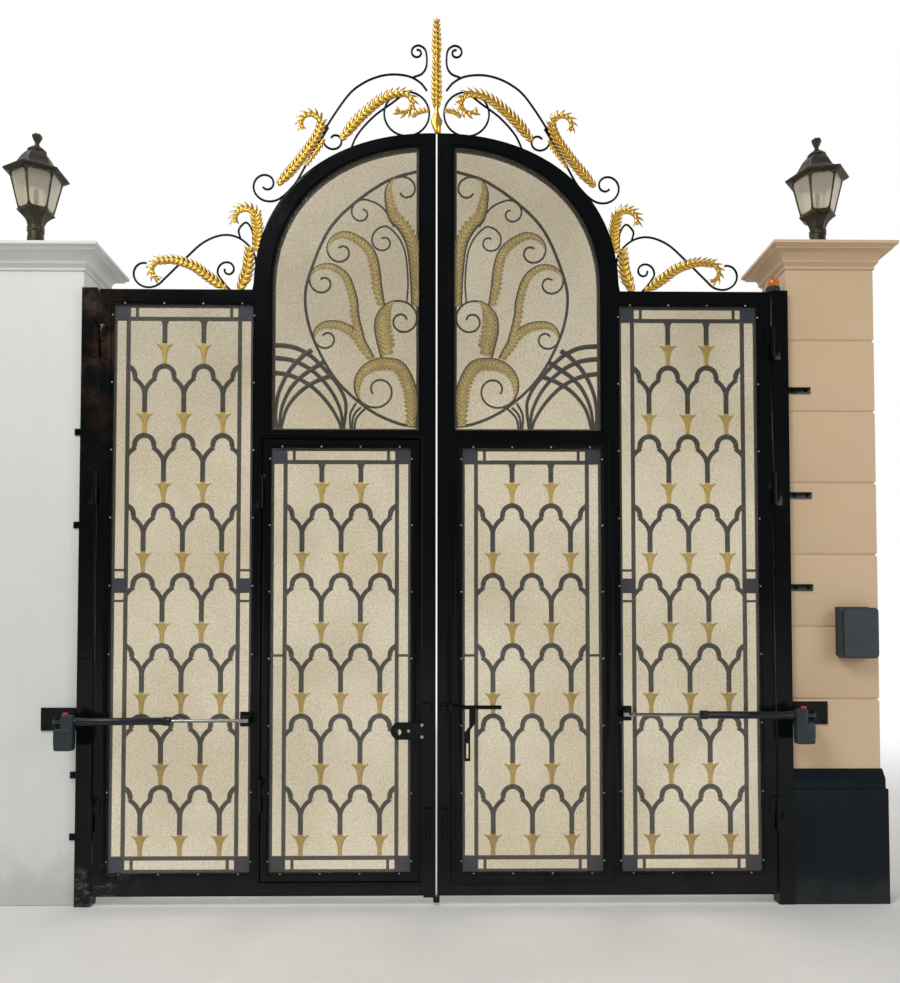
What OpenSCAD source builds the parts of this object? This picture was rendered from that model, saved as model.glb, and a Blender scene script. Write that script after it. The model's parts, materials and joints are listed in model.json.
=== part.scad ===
// Double-leaf wrought iron driveway gate with an arched crest, between two rendered piers.
// Millimetres, +Z up, +X to the right and +Y towards the street, seen from the driveway.
// The origin is the middle of the left pier's foot.

/* [Opening and posts] */
// Width of the steel frame over both jambs
gate_w = 3870; // [3600:10:4200]
// Width of a steel jamb, seen from the front
jamb_w = 85; // [70:1:100]
// Depth of a steel jamb
jamb_d = 85; // [70:1:110]
// Height of a steel jamb
jamb_h = 3350; // [3100:5:3440]
// How far the jambs and leaves stand in front of the piers
jamb_proud = 30; // [10:1:60]
// Width of the left masonry pier
left_pier_w = 690; // [400:10:800]
// Width of the right masonry pier
right_pier_w = 490; // [400:10:700]
// Depth of a masonry pier
pier_d = 320; // [280:10:500]
// Height of the left pier under its cornice
left_pier_h = 3452; // [3450:1:3600]
// Height of the right pier under its cornice
right_pier_h = 3480; // [3450:1:3600]

/* [Cornices and plinth] */
// Height of a cornice
cornice_h = 127; // [100:1:180]
// How far a cornice stands out from its pier
cornice_out = 98; // [60:1:110]
// Height of a course of the jointed pier
course_h = 396; // [300:1:500]
// Height of the lowest open joint of the jointed pier
first_joint_z = 1101; // [900:1:1300]
// Width of an open joint
joint_w = 16; // [8:1:30]
// Depth of an open joint
joint_d = 9; // [4:1:14]
// Height of the dark plinth
plinth_h = 618; // [400:1:700]
// Height of the moulding on the plinth
dado_h = 107; // [60:1:140]
// How far the plinth stands out
plinth_out = 28; // [10:1:29]

/* [Leaves] */
// Thickness of a leaf
leaf_t = 50; // [44:1:60]
// Gap between a leaf and its jamb
hinge_gap = 8; // [6:1:12]
// Gap between the two leaves
meet_gap = 8; // [7:1:12]
// Height of the leaves' lower edge above the ground
leaf_z = 53; // [45:1:90]
// Width of a hinge stile
hinge_stile_w = 80; // [60:1:100]
// Width of a mullion
mullion_w = 50; // [40:1:60]
// Width of a meeting stile beside the lower panels
meet_stile_w = 83; // [70:1:95]
// Width of a meeting stile beside the arched window
arch_stile_w = 94; // [84:1:110]
// Width of the inner frame around each lower centre panel
inner_w = 46; // [36:1:56]
// Gap around the wicket door
wicket_gap = 8; // [6:1:9]
// Height of the bottom rail
bottom_rail_h = 70; // [60:1:90]
// Height of the transom's lower edge
transom_z = 2526; // [2300:1:2700]
// Height of the transom bar
transom_h = 44; // [36:1:60]
// How far the side bays' top edge lies under the jambs' tops
side_drop = 6; // [5:1:60]
// Height of the side bays' top rail
top_rail_h = 84; // [70:1:100]
// Rise of the arch's inner edge above the side bays
arch_rise_in = 804; // [700:1:860]
// Rise of the arch's outer edge above the side bays
arch_rise_out = 880; // [780:1:940]
// How square the arch's shoulders are, where 2 is an ellipse
arch_power = 2.2; // [2:0.05:2.5]
// How far the raised face of a bar is set in from its edges
face_inset = 13; // [8:1:16]
// How far the raised face stands out
face_step = 6; // [3:1:8]

/* [Glass and grilles] */
// Thickness of the textured glass
glass_t = 6; // [4:1:8]
// Depth of the glass behind the leaf's front face
glass_set = 14; // [10:1:18]
// Thickness of the grille bars
grille_t = 10; // [6:1:12]
// Clearance between glass, grille and frame
glazing_gap = 0.5; // [0.3:0.1:0.9]
// Width of the grille's border bars
bar_w = 22; // [16:1:26]
// Width of the arches and their stems
arch_bar_w = 27; // [20:1:32]
// Width of the thin rim along the glass edge
rim_w = 14; // [8:1:20]
// Side of a corner square
corner_w = 86; // [70:1:110]
// Spacing of the arches along a row
pitch = 213; // [190:1:250]
// Height from one row of arches to the next
row_h = 382; // [360:1:420]
// Outer radius of an arch's round top
arch_bar_r = 66; // [56:1:74]
// Height of a gold capital
cap_h = 114; // [90:1:130]
// Width of a gold capital's lip
cap_w = 90; // [70:1:96]

/* [Rams] */
// Distance of the rear pivot outside the leaf's hinge
ram_back = 140; // [120:1:170]
// Distance of the rear pivot in front of the leaf's hinge
ram_out = 120; // [100:1:140]
// Distance of the front pivot from the leaf's hinge
ram_reach = 836; // [780:1:900]
// Distance of the front pivot in front of the leaf's hinge
ram_front = 70; // [62:1:90]
// Height of the left ram
ram_z_left = 1000; // [900:1:1200]
// Height of the right ram
ram_z_right = 1030; // [900:1:1200]
// Radius of the ram's tube
tube_r = 20; // [16:1:24]
// Radius of the ram's rod
rod_r = 9; // [6:1:12]
// Length of the ram's tube from the pivot to the end of its collar
tube_len = 590; // [560:5:640]

/* [Fittings] */
// Radius of a hinge barrel
barrel_r = 12; // [9:1:15]
// Length of a hinge barrel
barrel_h = 180; // [140:1:220]
// Radius of a hinge pin
pin_r = 6; // [4:0.5:8]
// Radial clearance around a hinge pin
pin_clear = 0.1; // [0.05:0.01:0.1]
// Radius of the slide bolt
bolt_r = 11; // [8:1:14]
// Length of the slide bolt
bolt_len = 335; // [300:1:400]
// Height of the slide bolt
bolt_z = 1063; // [1000:1:1200]
// Width of the control box
box_w = 200; // [160:5:240]
// Height of the control box
box_h = 274; // [220:1:320]
// Depth of the control box
box_d = 84; // [60:1:110]
// Distance of the control box from the pier's outer edge
box_inset = 36; // [10:1:80]
// Height of the control box's lower edge
box_z = 1326; // [1200:1:1500]

/* [Lanterns] */
// Width of a lantern over its eaves
lantern_w = 350; // [280:5:400]
// Height of a lantern on a 172 mm stem
lantern_h = 740; // [600:5:800]
// Length of the left lantern's stem
left_stem_h = 159; // [120:1:200]
// Length of the right lantern's stem
right_stem_h = 137; // [100:1:200]
// How far the right lantern stands outwards from the middle of its pier
lantern_shift = 12; // [0:1:60]

/* [Hidden] */

LEFT = -1;
RIGHT = 1;

// Places across the gate, measured outwards from its centre
gate_x = left_pier_w / 2 + gate_w / 2;
right_pier_x = gate_x + gate_w / 2 + right_pier_w / 2;
clear_half = gate_w / 2 - jamb_w;
leaf_in = meet_gap / 2;
leaf_out = clear_half - hinge_gap;
meet_out = leaf_in + meet_stile_w;
panel_in = meet_out + wicket_gap;
glass_w = (leaf_out - leaf_in - hinge_stile_w - mullion_w - meet_stile_w - 2 * inner_w - 2 * wicket_gap) / 2;
centre_glass_in = panel_in + inner_w;
centre_glass_out = centre_glass_in + glass_w;
panel_out = centre_glass_out + inner_w;
mullion_in = panel_out + wicket_gap;
mullion_out = mullion_in + mullion_w;
side_glass_out = mullion_out + glass_w;
arch_glass_in = leaf_in + arch_stile_w;

// Heights
side_top_z = jamb_h - side_drop;
rail_top_z = leaf_z + bottom_rail_h;
panel_z = rail_top_z + wicket_gap;
glass_z = panel_z + inner_w;
panel_top_z = transom_z - wicket_gap;
centre_glass_top_z = panel_top_z - inner_w;
transom_top_z = transom_z + transom_h;
side_glass_top_z = side_top_z - top_rail_h;
arch_z = side_top_z;
first_row_z = glass_z + corner_w + row_h;

// Depths, with the front on the driveway side
front_y = -pier_d / 2 - jamb_proud;
glass_y = front_y + glass_set;
grille_y = glass_y + glass_t;
scroll_t = 10;
plume_t = 6;
plume_y = grille_y + plume_t;
scroll_y = plume_y + plume_t;
crest_t = 12;
crest_y = front_y + (leaf_t - crest_t) / 2;
leaf_ornament_t = 12;
leaf_ornament_y = crest_y - leaf_ornament_t;
finial_t = 24;

// Hinges: each axis stands in its gap, in front of the leaf
hinge_y = front_y - barrel_r;
hinge_u = clear_half - hinge_gap / 2;
wicket_hinge_u = panel_out + wicket_gap / 2;
jamb_hinge_zs = [400, transom_z - 366, side_top_z - 379];
wicket_hinge_zs = [500, transom_z - 386];
weld_t = 6;
weld_w = 44;
knuckle_gap = 1;

// Rams
ram_rear = [hinge_u + ram_back, hinge_y - ram_out];
ram_fore = [hinge_u - ram_reach, hinge_y - ram_front];
ram_len = norm(ram_fore - ram_rear);
ram_angle = atan2(ram_fore[1] - ram_rear[1], ram_rear[0] - ram_fore[0]);
rod_bore_clear = 0.5;
rod_inside = 195;
eye_t = 20;
eye_r = 17;
fork_gap = 3;
ear_t = 6;
ear_r = 16;
pivot_r = 8;
housing_start = 30;
housing_end = 94;
housing_back = 6;
housing_top = 34;
motor_drop = 150;
bore_start = 120;
collar_len = 40;

// Slide bolt
bolt_y = front_y - bolt_r - 8;
bolt_tip = 15;
bolt_clear = 0.5;

tiny = 0.05;

// Puts a shape drawn for the right-hand half on the side asked for
module at_side(side) {
    translate([gate_x, 0, 0])
        if (side == LEFT) mirror([1, 0, 0]) children();
        else children();
}

// A flat shape drawn across and up, stood upright with its front at y
module upright(y, t) {
    translate([0, y + t, 0]) rotate([90, 0, 0]) linear_extrude(t) children();
}

module rect(u0, z0, u1, z1) {
    translate([u0, z0]) square([u1 - u0, z1 - z0]);
}

module box(u0, y0, z0, u1, y1, z1) {
    translate([u0, y0, z0]) cube([u1 - u0, y1 - y0, z1 - z0]);
}

module post(u, y, z, r, h) {
    translate([u, y, z]) cylinder(r = r, h = h, $fn = 48);
}

// Curves

function polar(c, r, a) = [c[0] + r * cos(a), c[1] + r * sin(a)];
function angle_of(v) = atan2(v[1], v[0]);

// A smooth line through points, with n steps between each two, up to the last point or the one asked for
function spline_at(a, b, c, d, t) = 0.5 * ((2 * b) + (c - a) * t + (2 * a - 5 * b + 4 * c - d) * t * t
    + (3 * b - a - 3 * c + d) * t * t * t);
function spline(p, n, last = 0) = let (m = len(p) - 1, e = last == 0 ? m : last) concat(
    [for (i = [0:e - 1]) for (k = [0:n - 1])
        spline_at(i == 0 ? 2 * p[0] - p[1] : p[i - 1], p[i], p[i + 1],
            i == m - 1 ? 2 * p[m] - p[m - 1] : p[i + 2], k / n)],
    [p[e]]);

// A scroll's line runs through its body points and then winds into a spiral whose radius shrinks
// evenly in proportion. s = [body points, centre, way, turns, inner radius]
function coil(p, c, way, turns, r_end, n) = let (r = norm(p - c), a = angle_of(p - c))
    [for (i = [1:n]) polar(c, r * pow(r_end / r, i / n), a + way * 360 * turns * i / n)];
function scroll_line(s, n = 4) = let (p = s[0], m = len(p) - 1)
    concat(
        spline(concat(p, coil(p[m], s[1], s[2], s[3], s[4], ceil(s[3] * 10))), n, m),
        coil(p[m], s[1], s[2], s[3], s[4], ceil(s[3] * 22)));

function side_step(p, i) = let (
    a = p[max(i - 1, 0)], b = p[min(i + 1, len(p) - 1)], d = (b - a) / norm(b - a)) [-d[1], d[0]];
function ribbon(p, w, w_end) = let (n = len(p) - 1, half = [for (i = [0:n]) (w + (w_end - w) * i / n) / 2])
    concat(
        [for (i = [0:n]) p[i] + side_step(p, i) * half[i]],
        [for (i = [n:-1:0]) p[i] - side_step(p, i) * half[i]]);

// A bar of width w along a line, or one whose width changes evenly to w_end
module line(p, w, w_end = 0) {
    polygon(ribbon(p, w, w_end == 0 ? w : w_end));
}

// A feathered leaf along a line: lobes that point forwards on both sides, narrower at both ends
module feather(p, w, lobes) {
    n = len(p) - 1;
    function half(i) = let (t = i / n, tooth = (t * lobes) % 1)
        2 + w / 2 * (0.5 + 0.5 * tooth) * min(1, 0.35 + 4 * t) * (1 - 0.4 * pow(t, 2));
    polygon(concat(
        [for (i = [0:n]) p[i] + side_step(p, i) * half(i)],
        [for (i = [n:-1:0]) p[i] - side_step(p, i) * half(i)]));
}

// A plume fills the inner side of a scroll's line, over the share of its length asked for
module plume(p, way, w, share) {
    n = ceil((len(p) - 1) * share);
    function depth(i) = let (t = i / n) w * min(1, 0.7 + 2 * t) * (1 - pow(t, 5)) + 2;
    polygon(concat(
        [for (i = [0:n]) p[i] + side_step(p, i) * way * 2],
        [for (i = [n:-1:0]) p[i] + side_step(p, i) * way * depth(i)]));
}

// Piers

module course_notch(half, z) {
    polygon([[half + 1, z - joint_w / 2 - 1], [half - joint_d, z], [half + 1, z + joint_w / 2 + 1]]);
}

module pier_outline(half, jointed) {
    difference() {
        rect(-half, 0, half, jointed ? right_pier_h : left_pier_h);
        if (jointed)
            for (z = [first_joint_z:course_h:right_pier_h - course_h / 3])
                for (m = [0, 1]) mirror([m, 0]) course_notch(half, z);
    }
}

module crossed(width, depth) {
    intersection() {
        translate([0, depth, 0]) rotate([90, 0, 0]) linear_extrude(2 * depth) children(0);
        translate([-width, 0, 0]) rotate([90, 0, 90]) linear_extrude(2 * width) children(1);
    }
}

function pier_w(side) = side == LEFT ? left_pier_w : right_pier_w;
function pier_h(side) = side == LEFT ? left_pier_h : right_pier_h;

module pier(side) {
    jointed = side == RIGHT;
    color(jointed ? "linen" : "whitesmoke")
        crossed(pier_w(side), pier_d) {
            pier_outline(pier_w(side) / 2, jointed);
            pier_outline(pier_d / 2, jointed);
        }
}

function quarter(x0, z0, x1, z1, n) = [for (i = [0:n]) let (a = 90 * i / n)
    [x0 + (x1 - x0) * (1 - cos(a)), z0 + (z1 - z0) * sin(a)]];

module cornice_outline(half) {
    side = concat(
        [[half + 6, 0], [half + 6, cornice_h * 0.18], [half + 14, cornice_h * 0.18],
         [half + 14, cornice_h * 0.25], [half + 22, cornice_h * 0.25]],
        quarter(half + 22, cornice_h * 0.32, half + cornice_out * 0.74, cornice_h * 0.7, 6),
        [[half + cornice_out * 0.8, cornice_h * 0.7], [half + cornice_out * 0.8, cornice_h * 0.78],
         [half + cornice_out * 0.88, cornice_h * 0.78], [half + cornice_out * 0.88, cornice_h * 0.85],
         [half + cornice_out, cornice_h * 0.85], [half + cornice_out, cornice_h]]);
    polygon(concat(side, [for (i = [len(side) - 1:-1:0]) [-side[i][0], side[i][1]]]));
}

module cornice(side) {
    color("ivory")
        translate([0, 0, pier_h(side)])
            crossed(pier_w(side), pier_d) {
                cornice_outline(pier_w(side) / 2);
                cornice_outline(pier_d / 2);
            }
}

module plinth_outline(half) {
    out = half + plinth_out;
    polygon([[-out, 0], [out, 0], [out, plinth_h], [out - 10, plinth_h], [out - 10, plinth_h + dado_h * 0.5],
        [half + 6, plinth_h + dado_h], [-half - 6, plinth_h + dado_h], [10 - out, plinth_h + dado_h * 0.5],
        [10 - out, plinth_h], [-out, plinth_h]]);
}

// The plinth wraps the pier, stopped beside the steel jamb
module plinth() {
    half = right_pier_w / 2;
    color("midnightblue")
        difference() {
            crossed(right_pier_w, pier_d) {
                plinth_outline(half);
                plinth_outline(pier_d / 2);
            }
            box(-half, -pier_d / 2, -1, half, pier_d / 2, jamb_h);
            box(-2 * half, front_y - 1, -1, tiny - half, front_y + jamb_d + 1, jamb_h);
        }
}

module at_pier(side) {
    translate([side == LEFT ? 0 : right_pier_x, 0, 0]) children();
}

// Jambs with their welded hinge halves and wall ties

module hinge_half(axis_u, toward, z, h, bored) {
    difference() {
        union() {
            post(axis_u, hinge_y, z, barrel_r, h);
            box(min(axis_u + toward * 3, axis_u + toward * weld_w), front_y - weld_t, z,
                max(axis_u + toward * 3, axis_u + toward * weld_w), front_y, z + h);
        }
        if (bored) post(axis_u, hinge_y, z - 1, pin_r + pin_clear, h - 10);
    }
}

module hinge_lower(axis_u, toward, z) {
    hinge_half(axis_u, toward, z, barrel_h / 2, false);
    post(axis_u, hinge_y, z + barrel_h / 2 - tiny, pin_r, barrel_h / 2 - 24);
}

module hinge_upper(axis_u, toward, z) {
    hinge_half(axis_u, toward, z + barrel_h / 2 + knuckle_gap, barrel_h / 2 - knuckle_gap, true);
}

// Wall ties: straps from the jamb to the pier's face, short ones on the left and long ones on the right
tie_t = 6;
tie_w = 36;
function tie_reach(side) = side == LEFT ? 40 : 130;
function tie_zs(side) = side == LEFT
    ? [367, 698, jamb_h - 1300, jamb_h - 791]
    : [jamb_h - 1638, jamb_h - 1131, jamb_h - 549];

module jamb(side) {
    color("black")
        at_side(side) {
            box(clear_half, front_y, 0, gate_w / 2, front_y + jamb_d, jamb_h);
            for (z = jamb_hinge_zs) hinge_lower(hinge_u, 1, z);
            for (z = tie_zs(side))
                box(gate_w / 2 - tiny, -pier_d / 2 - tie_t, z - tie_w / 2,
                    gate_w / 2 + tie_reach(side), -pier_d / 2, z + tie_w / 2);
        }
}

// Leaf frames

// The right-hand half of the region under the arch's curve, from the springing up
function arch_edge(a, b, n) = [for (i = [0:n]) let (t = 90 * i / n)
    [a * pow(cos(t), 2 / arch_power), arch_z + b * pow(sin(t), 2 / arch_power)]];

module arch_half(a, b, n = 48) {
    polygon(concat([[0, arch_z - 1], [a, arch_z - 1]], arch_edge(a, b, n), [[0, arch_z + b]]));
}

module under_arch(a, b) {
    arch_half(a, b);
    rect(0, 0, a, arch_z);
}

module leaf_outline() {
    rect(side_glass_out, leaf_z, leaf_out, side_top_z);
    rect(mullion_out - 1, side_glass_top_z, leaf_out, side_top_z);
    rect(leaf_in, leaf_z, leaf_out, rail_top_z);
    rect(mullion_out - 1, leaf_z, side_glass_out + 1, glass_z);
    rect(mullion_in, leaf_z, mullion_out, arch_z);
    rect(centre_glass_out, transom_z, mullion_out, arch_z);
    rect(leaf_in, transom_z, mullion_out, transom_top_z);
    rect(leaf_in, leaf_z, meet_out, transom_z + 1);
    rect(leaf_in, transom_z, arch_glass_in, arch_z + 1);
    difference() {
        arch_half(mullion_out, arch_rise_out);
        arch_half(centre_glass_out, arch_rise_in);
        rect(-1, arch_z - 2, leaf_in, arch_z + arch_rise_out + 1);
    }
    intersection() {
        arch_half(mullion_out, arch_rise_out);
        rect(leaf_in, arch_z - 1, arch_glass_in, arch_z + arch_rise_out + 1);
    }
}

module panel_outline(grow) {
    difference() {
        rect(panel_in - grow, panel_z - grow, panel_out + grow, panel_top_z + grow);
        rect(centre_glass_in, glass_z, centre_glass_out, centre_glass_top_z);
    }
}

// Full outline at the back, with a narrower raised face in front
module stepped(inset) {
    upright(front_y + face_step, leaf_t - face_step) children();
    upright(front_y, leaf_t) offset(delta = -inset) children();
}

module leaf_frame(side) {
    color("black")
        at_side(side) {
            stepped(face_inset) leaf_outline();
            for (z = jamb_hinge_zs) hinge_upper(hinge_u, -1, z);
            if (side == LEFT)
                for (z = wicket_hinge_zs) hinge_lower(wicket_hinge_u, 1, z);
        }
}

module panel_frame(side) {
    color("black")
        at_side(side) {
            stepped(face_inset) panel_outline(side == LEFT ? 0 : wicket_gap - tiny);
            if (side == LEFT)
                for (z = wicket_hinge_zs) hinge_upper(wicket_hinge_u, -1, z);
        }
}

// Grilles

cusp_z = 180;
branch_r = 112;
branch_w = 24;

function arc_points(c, r, a0, a1, n) = [for (i = [0:n]) polar(c, r, a0 + (a1 - a0) * i / n)];

// Half of one ogee arch under its top, drawn to the right of u = 0
module ogee_half() {
    c = [pitch / 2 - branch_r, -cusp_z];
    mid_r = arch_bar_r - arch_bar_w / 2;
    start = acos((mid_r - c[0]) / branch_r);
    line(arc_points([0, -arch_bar_r], mid_r, 92, -12, 7), arch_bar_w);
    line(arc_points(c, branch_r, start + 4, 0, 5), branch_w);
}

// Where the tops of a row stand, shifted by half a pitch in every other row
function tops(k, reach) = let (shift = k % 2 == 0 ? 0.5 : 0, n = ceil(reach / pitch) + 1)
    [for (i = [-n:n]) if (abs(i + shift) * pitch < reach) (i + shift) * pitch];

module grille_row(z, k, reach, stem) {
    for (u = tops(k, reach)) {
        translate([u, z]) {
            ogee_half();
            mirror([1, 0]) ogee_half();
            translate([pitch / 2, 0]) rect(-arch_bar_w / 2, -stem, arch_bar_w / 2, -cusp_z + 10);
        }
    }
}

function row_count(top_z) = floor((top_z - corner_w - first_row_z - cap_h) / row_h) + 1;

// A panel's grille, drawn about the middle of its glass
module grille_outline(top_z) {
    half = glass_w / 2;
    inner = half - corner_w;
    z0 = glass_z + corner_w;
    z1 = top_z - corner_w;
    rows = row_count(top_z);
    stem = row_h - cap_h;
    difference() {
        rect(-half, glass_z, half, top_z);
        rect(rim_w - half, glass_z + rim_w, half - rim_w, top_z - rim_w);
    }
    for (m = [0, 1]) mirror([m, 0]) {
        rect(inner, glass_z, half, z0);
        rect(inner, z1, half, top_z);
        rect(inner, z0 - 1, inner + bar_w, z1 + 1);
        rect(inner - 2 * bar_w, glass_z, inner - 1.25 * bar_w, z0);
        rect(inner - 2 * bar_w, z1, inner - 1.25 * bar_w, top_z);
    }
    rect(-inner - 1, z0 - bar_w, inner + 1, z0);
    rect(-inner - 1, z1, inner + 1, z1 + bar_w);
    intersection() {
        rect(-inner - 1, z0 - 1, inner + 1, z1 + 1);
        for (k = [0:rows - 1]) grille_row(first_row_z + k * row_h, k, inner + pitch, stem);
    }
    top_stem_z = first_row_z + (rows - 1) * row_h + cap_h;
    for (u = tops(rows - 1, inner - cap_w / 2)) {
        rect(u - arch_bar_w / 2, top_stem_z, u + arch_bar_w / 2, z1 + 1);
        translate([u, z1 + 1])
            polygon([[-bar_w, 0], [bar_w, 0], [arch_bar_w / 2, -22], [-arch_bar_w / 2, -22]]);
    }
}

module side_blocks() {
    half = glass_w / 2;
    for (m = [0, 1]) mirror([m, 0]) {
        rect(half - corner_w, 1680, half, 1761);
        rect(half - corner_w, 1630, half, 1643);
        rect(half - corner_w, 1798, half, 1811);
    }
}

module centre_ticks() {
    half = glass_w / 2;
    for (m = [0, 1]) mirror([m, 0]) rect(half - corner_w, 1334, half, 1348);
}

module grille(side, u, top_z) {
    color("dimgray")
        at_side(side)
            translate([u, 0, 0])
                upright(grille_y, grille_t)
                    offset(delta = -glazing_gap) {
                        grille_outline(top_z);
                        if (top_z > transom_z) side_blocks();
                        else centre_ticks();
                    }
}

cap_t = 14;
cap_gap = 0.3;

// A trumpet-shaped capital standing on u = 0, z = 0
module capital_outline() {
    foot = bar_w / 2 + 2;
    top = cap_h - 2 * cap_gap;
    side = [[foot, 0], [foot - 2, top * 0.25], [foot + 2, top * 0.5], [foot + 9, top * 0.75],
        [cap_w / 2 - 8, top * 0.88], [cap_w / 2, top * 0.9], [cap_w / 2 - 8, top]];
    polygon(concat(side, [for (i = [len(side) - 1:-1:0]) [-side[i][0], side[i][1]]]));
}

module capitals(side, u, top_z) {
    rows = row_count(top_z);
    color("gold")
        at_side(side)
            translate([u, 0, 0])
                for (k = [-1:rows - 1])
                    for (x = tops(k, (glass_w - cap_w) / 2 - corner_w))
                        translate([x, 0, first_row_z + k * row_h + cap_gap])
                            upright(grille_y, cap_t) capital_outline();
}

module glass(side, u, top_z) {
    color("wheat", 0.5)
        at_side(side)
            translate([u, 0, 0])
                upright(glass_y, glass_t)
                    offset(delta = -glazing_gap) rect(-glass_w / 2, glass_z, glass_w / 2, top_z);
}

side_u = (mullion_out + side_glass_out) / 2;
centre_u = (centre_glass_in + centre_glass_out) / 2;

// Arched window

module arch_opening() {
    intersection() {
        offset(delta = -glazing_gap) under_arch(centre_glass_out, arch_rise_in);
        rect(arch_glass_in + glazing_gap, transom_top_z + glazing_gap, gate_w, arch_z + gate_w);
    }
}

module arch_glass(side) {
    color("wheat", 0.5) at_side(side) upright(glass_y, glass_t) arch_opening();
}

thin_w = 11;
strap_w = 27;
curl = -1;
curl_back = 1;

// The window's ornaments are drawn for a window from [98, 2570] to [899.5, 4148], and stretch with it
function in_window(p) = [
    arch_glass_in + (p[0] - 98) * (centre_glass_out - arch_glass_in) / (899.5 - 98),
    transom_top_z + (p[1] - 2570) * (arch_z + arch_rise_in - transom_top_z) / (4148 - 2570)];

// The crest's ornaments are drawn for an arch 1003.5 wide and 880 high over 3344, and stretch with it
function on_crest(p) = [p[0] * mullion_out / 1003.5, arch_z + (p[1] - 3344) * arch_rise_out / 880];

function window_points(list) = [for (p = list) in_window(p)];
function crest_points(list) = [for (p = list) on_crest(p)];
function window_scroll(s) = scroll_line([window_points(s[0]), in_window(s[1]), s[2], s[3], s[4]]);
function crest_scroll(s, n = 4) = scroll_line([crest_points(s[0]), on_crest(s[1]), s[2], s[3], s[4]], n);

hoop = [[90, 4028], [270, 3970], [455, 3842], [595, 3692], [690, 3475], [725, 3305], [685, 3100],
    [560, 2865], [385, 2700], [220, 2617], [90, 2594]];

// The plumes' scrolls, each with its body, centre, way, turns, inner radius, plume width and share
plumes = [
    [[[115, 2594], [104, 2710], [112, 2800], [144, 2890], [190, 2952], [262, 2974]],
        [320, 2800], curl, 1.4, 36, 76, 0.66],
    [[[305, 2982], [330, 3080], [340, 3155]], [192, 3185], curl_back, 1.5, 27, 96, 0.42],
    [[[345, 2978], [395, 3070], [450, 3135], [515, 3172], [580, 3180]],
        [605, 3085], curl, 1.2, 25, 54, 0.66],
    [[[395, 3070], [430, 3210], [440, 3305], [480, 3425], [540, 3483], [600, 3500]],
        [625, 3395], curl, 1.15, 24, 46, 0.72],
    [[[289, 3270], [305, 3380], [315, 3470], [335, 3552], [372, 3611], [430, 3654], [500, 3680]],
        [525, 3570], curl, 1.15, 25, 56, 0.72],
    [[[135, 3262], [145, 3455], [165, 3605], [210, 3695], [265, 3760], [285, 3895]],
        [175, 3915], curl_back, 0.95, 30, 74, 0.74],
];
tendrils = [
    [[[165, 3284], [158, 3400], [170, 3545], [195, 3624], [236, 3682], [284, 3714]],
        [292, 3625], curl, 1.1, 22],
    [[[238, 3712], [262, 3770], [305, 3822], [350, 3849], [405, 3864]], [413, 3785], curl, 1.0, 22],
];
// The straps that cross in the window's lower corners, each with its widths at both ends
fans = [
    [[[907, 3047], [793, 3036], [700, 2992], [623, 2920], [546, 2830], [505, 2750], [498, 2687], [512, 2565]],
        strap_w, 16],
    [[[907, 2977], [792, 2961], [699, 2915], [623, 2849], [562, 2764], [524, 2671], [515, 2565]],
        strap_w, 16],
    [[[907, 2893], [819, 2882], [737, 2849], [660, 2794], [589, 2714], [540, 2632], [519, 2565]],
        strap_w, 16],
    [[[872, 2565], [883, 2665], [867, 2780], [814, 2896], [738, 2984], [685, 3020]], 16, strap_w],
    [[[866, 2565], [851, 2692], [810, 2794], [753, 2863], [694, 2907], [620, 2955]], 16, strap_w],
    [[[858, 2565], [823, 2692], [758, 2780], [682, 2835], [617, 2864], [576, 2876]], 16, strap_w],
    [[[470, 2565], [476, 2631], [471, 2674], [442, 2727]], 12, 12],
    [[[464, 2565], [460, 2636], [444, 2674], [415, 2703]], 12, 12],
    [[[452, 2565], [444, 2631], [420, 2668], [389, 2698]], 12, 12],
];

module arch_scrolls(side) {
    hoop_line = spline(window_points(hoop), 4);
    color("dimgray")
        at_side(side)
            upright(scroll_y, scroll_t)
                intersection() {
                    arch_opening();
                    offset(delta = tiny) union() {
                        line(hoop_line, thin_w + 5);
                        for (s = plumes) line(window_scroll(s), thin_w);
                        for (s = tendrils) line(window_scroll(s), thin_w - 1);
                        difference() {
                            for (f = fans) line(spline(window_points(f[0]), 4), f[1], f[2]);
                            polygon(hoop_line);
                        }
                        difference() {
                            arch_opening();
                            offset(delta = -rim_w) arch_opening();
                        }
                    }
                }
}

module arch_plumes(side) {
    color("goldenrod")
        at_side(side)
            upright(plume_y, plume_t)
                intersection() {
                    arch_opening();
                    offset(delta = tiny) union()
                        for (s = plumes) plume(window_scroll(s), s[2], s[5], s[6]);
                }
}

// Crest

crest_coils = [
    [[[130, 4550], [80, 4572], [56, 4620], [61, 4700], [94, 4730]], [107, 4690], curl, 1.1, 15],
    [[[54, 4474], [92, 4520], [155, 4555], [245, 4565], [330, 4550], [415, 4510], [495, 4440], [605, 4275],
        [630, 4210]], [565, 4190], curl, 0.95, 24],
    [[[600, 4262], [655, 4170], [705, 4085], [785, 3940], [870, 3858]], [940, 3940], curl_back, 1.25, 24],
    [[[1128, 3340], [1168, 3385], [1204, 3440]], [1148, 3460], curl_back, 1.1, 17],
    [[[1010, 3340], [995, 3440], [1005, 3550], [1075, 3630], [1170, 3655], [1280, 3615], [1385, 3520],
        [1500, 3405]], [1600, 3450], curl_back, 0.7, 45],
];
crest_lines = [
    [[490, 4100], [440, 4220], [350, 4325], [245, 4405], [170, 4466]],
    [[1010, 3600], [1015, 3675], [1050, 3725], [1090, 3685], [1080, 3632]],
];
crest_ring_r = 125;

// Everything above the leaf's own outline, with a hair's clearance
module above_leaf() {
    difference() {
        offset(delta = tiny) children();
        under_arch(mullion_out + cap_gap, arch_rise_out + cap_gap);
        rect(-gate_w, 0, gate_w, side_top_z + cap_gap);
    }
}

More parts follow.
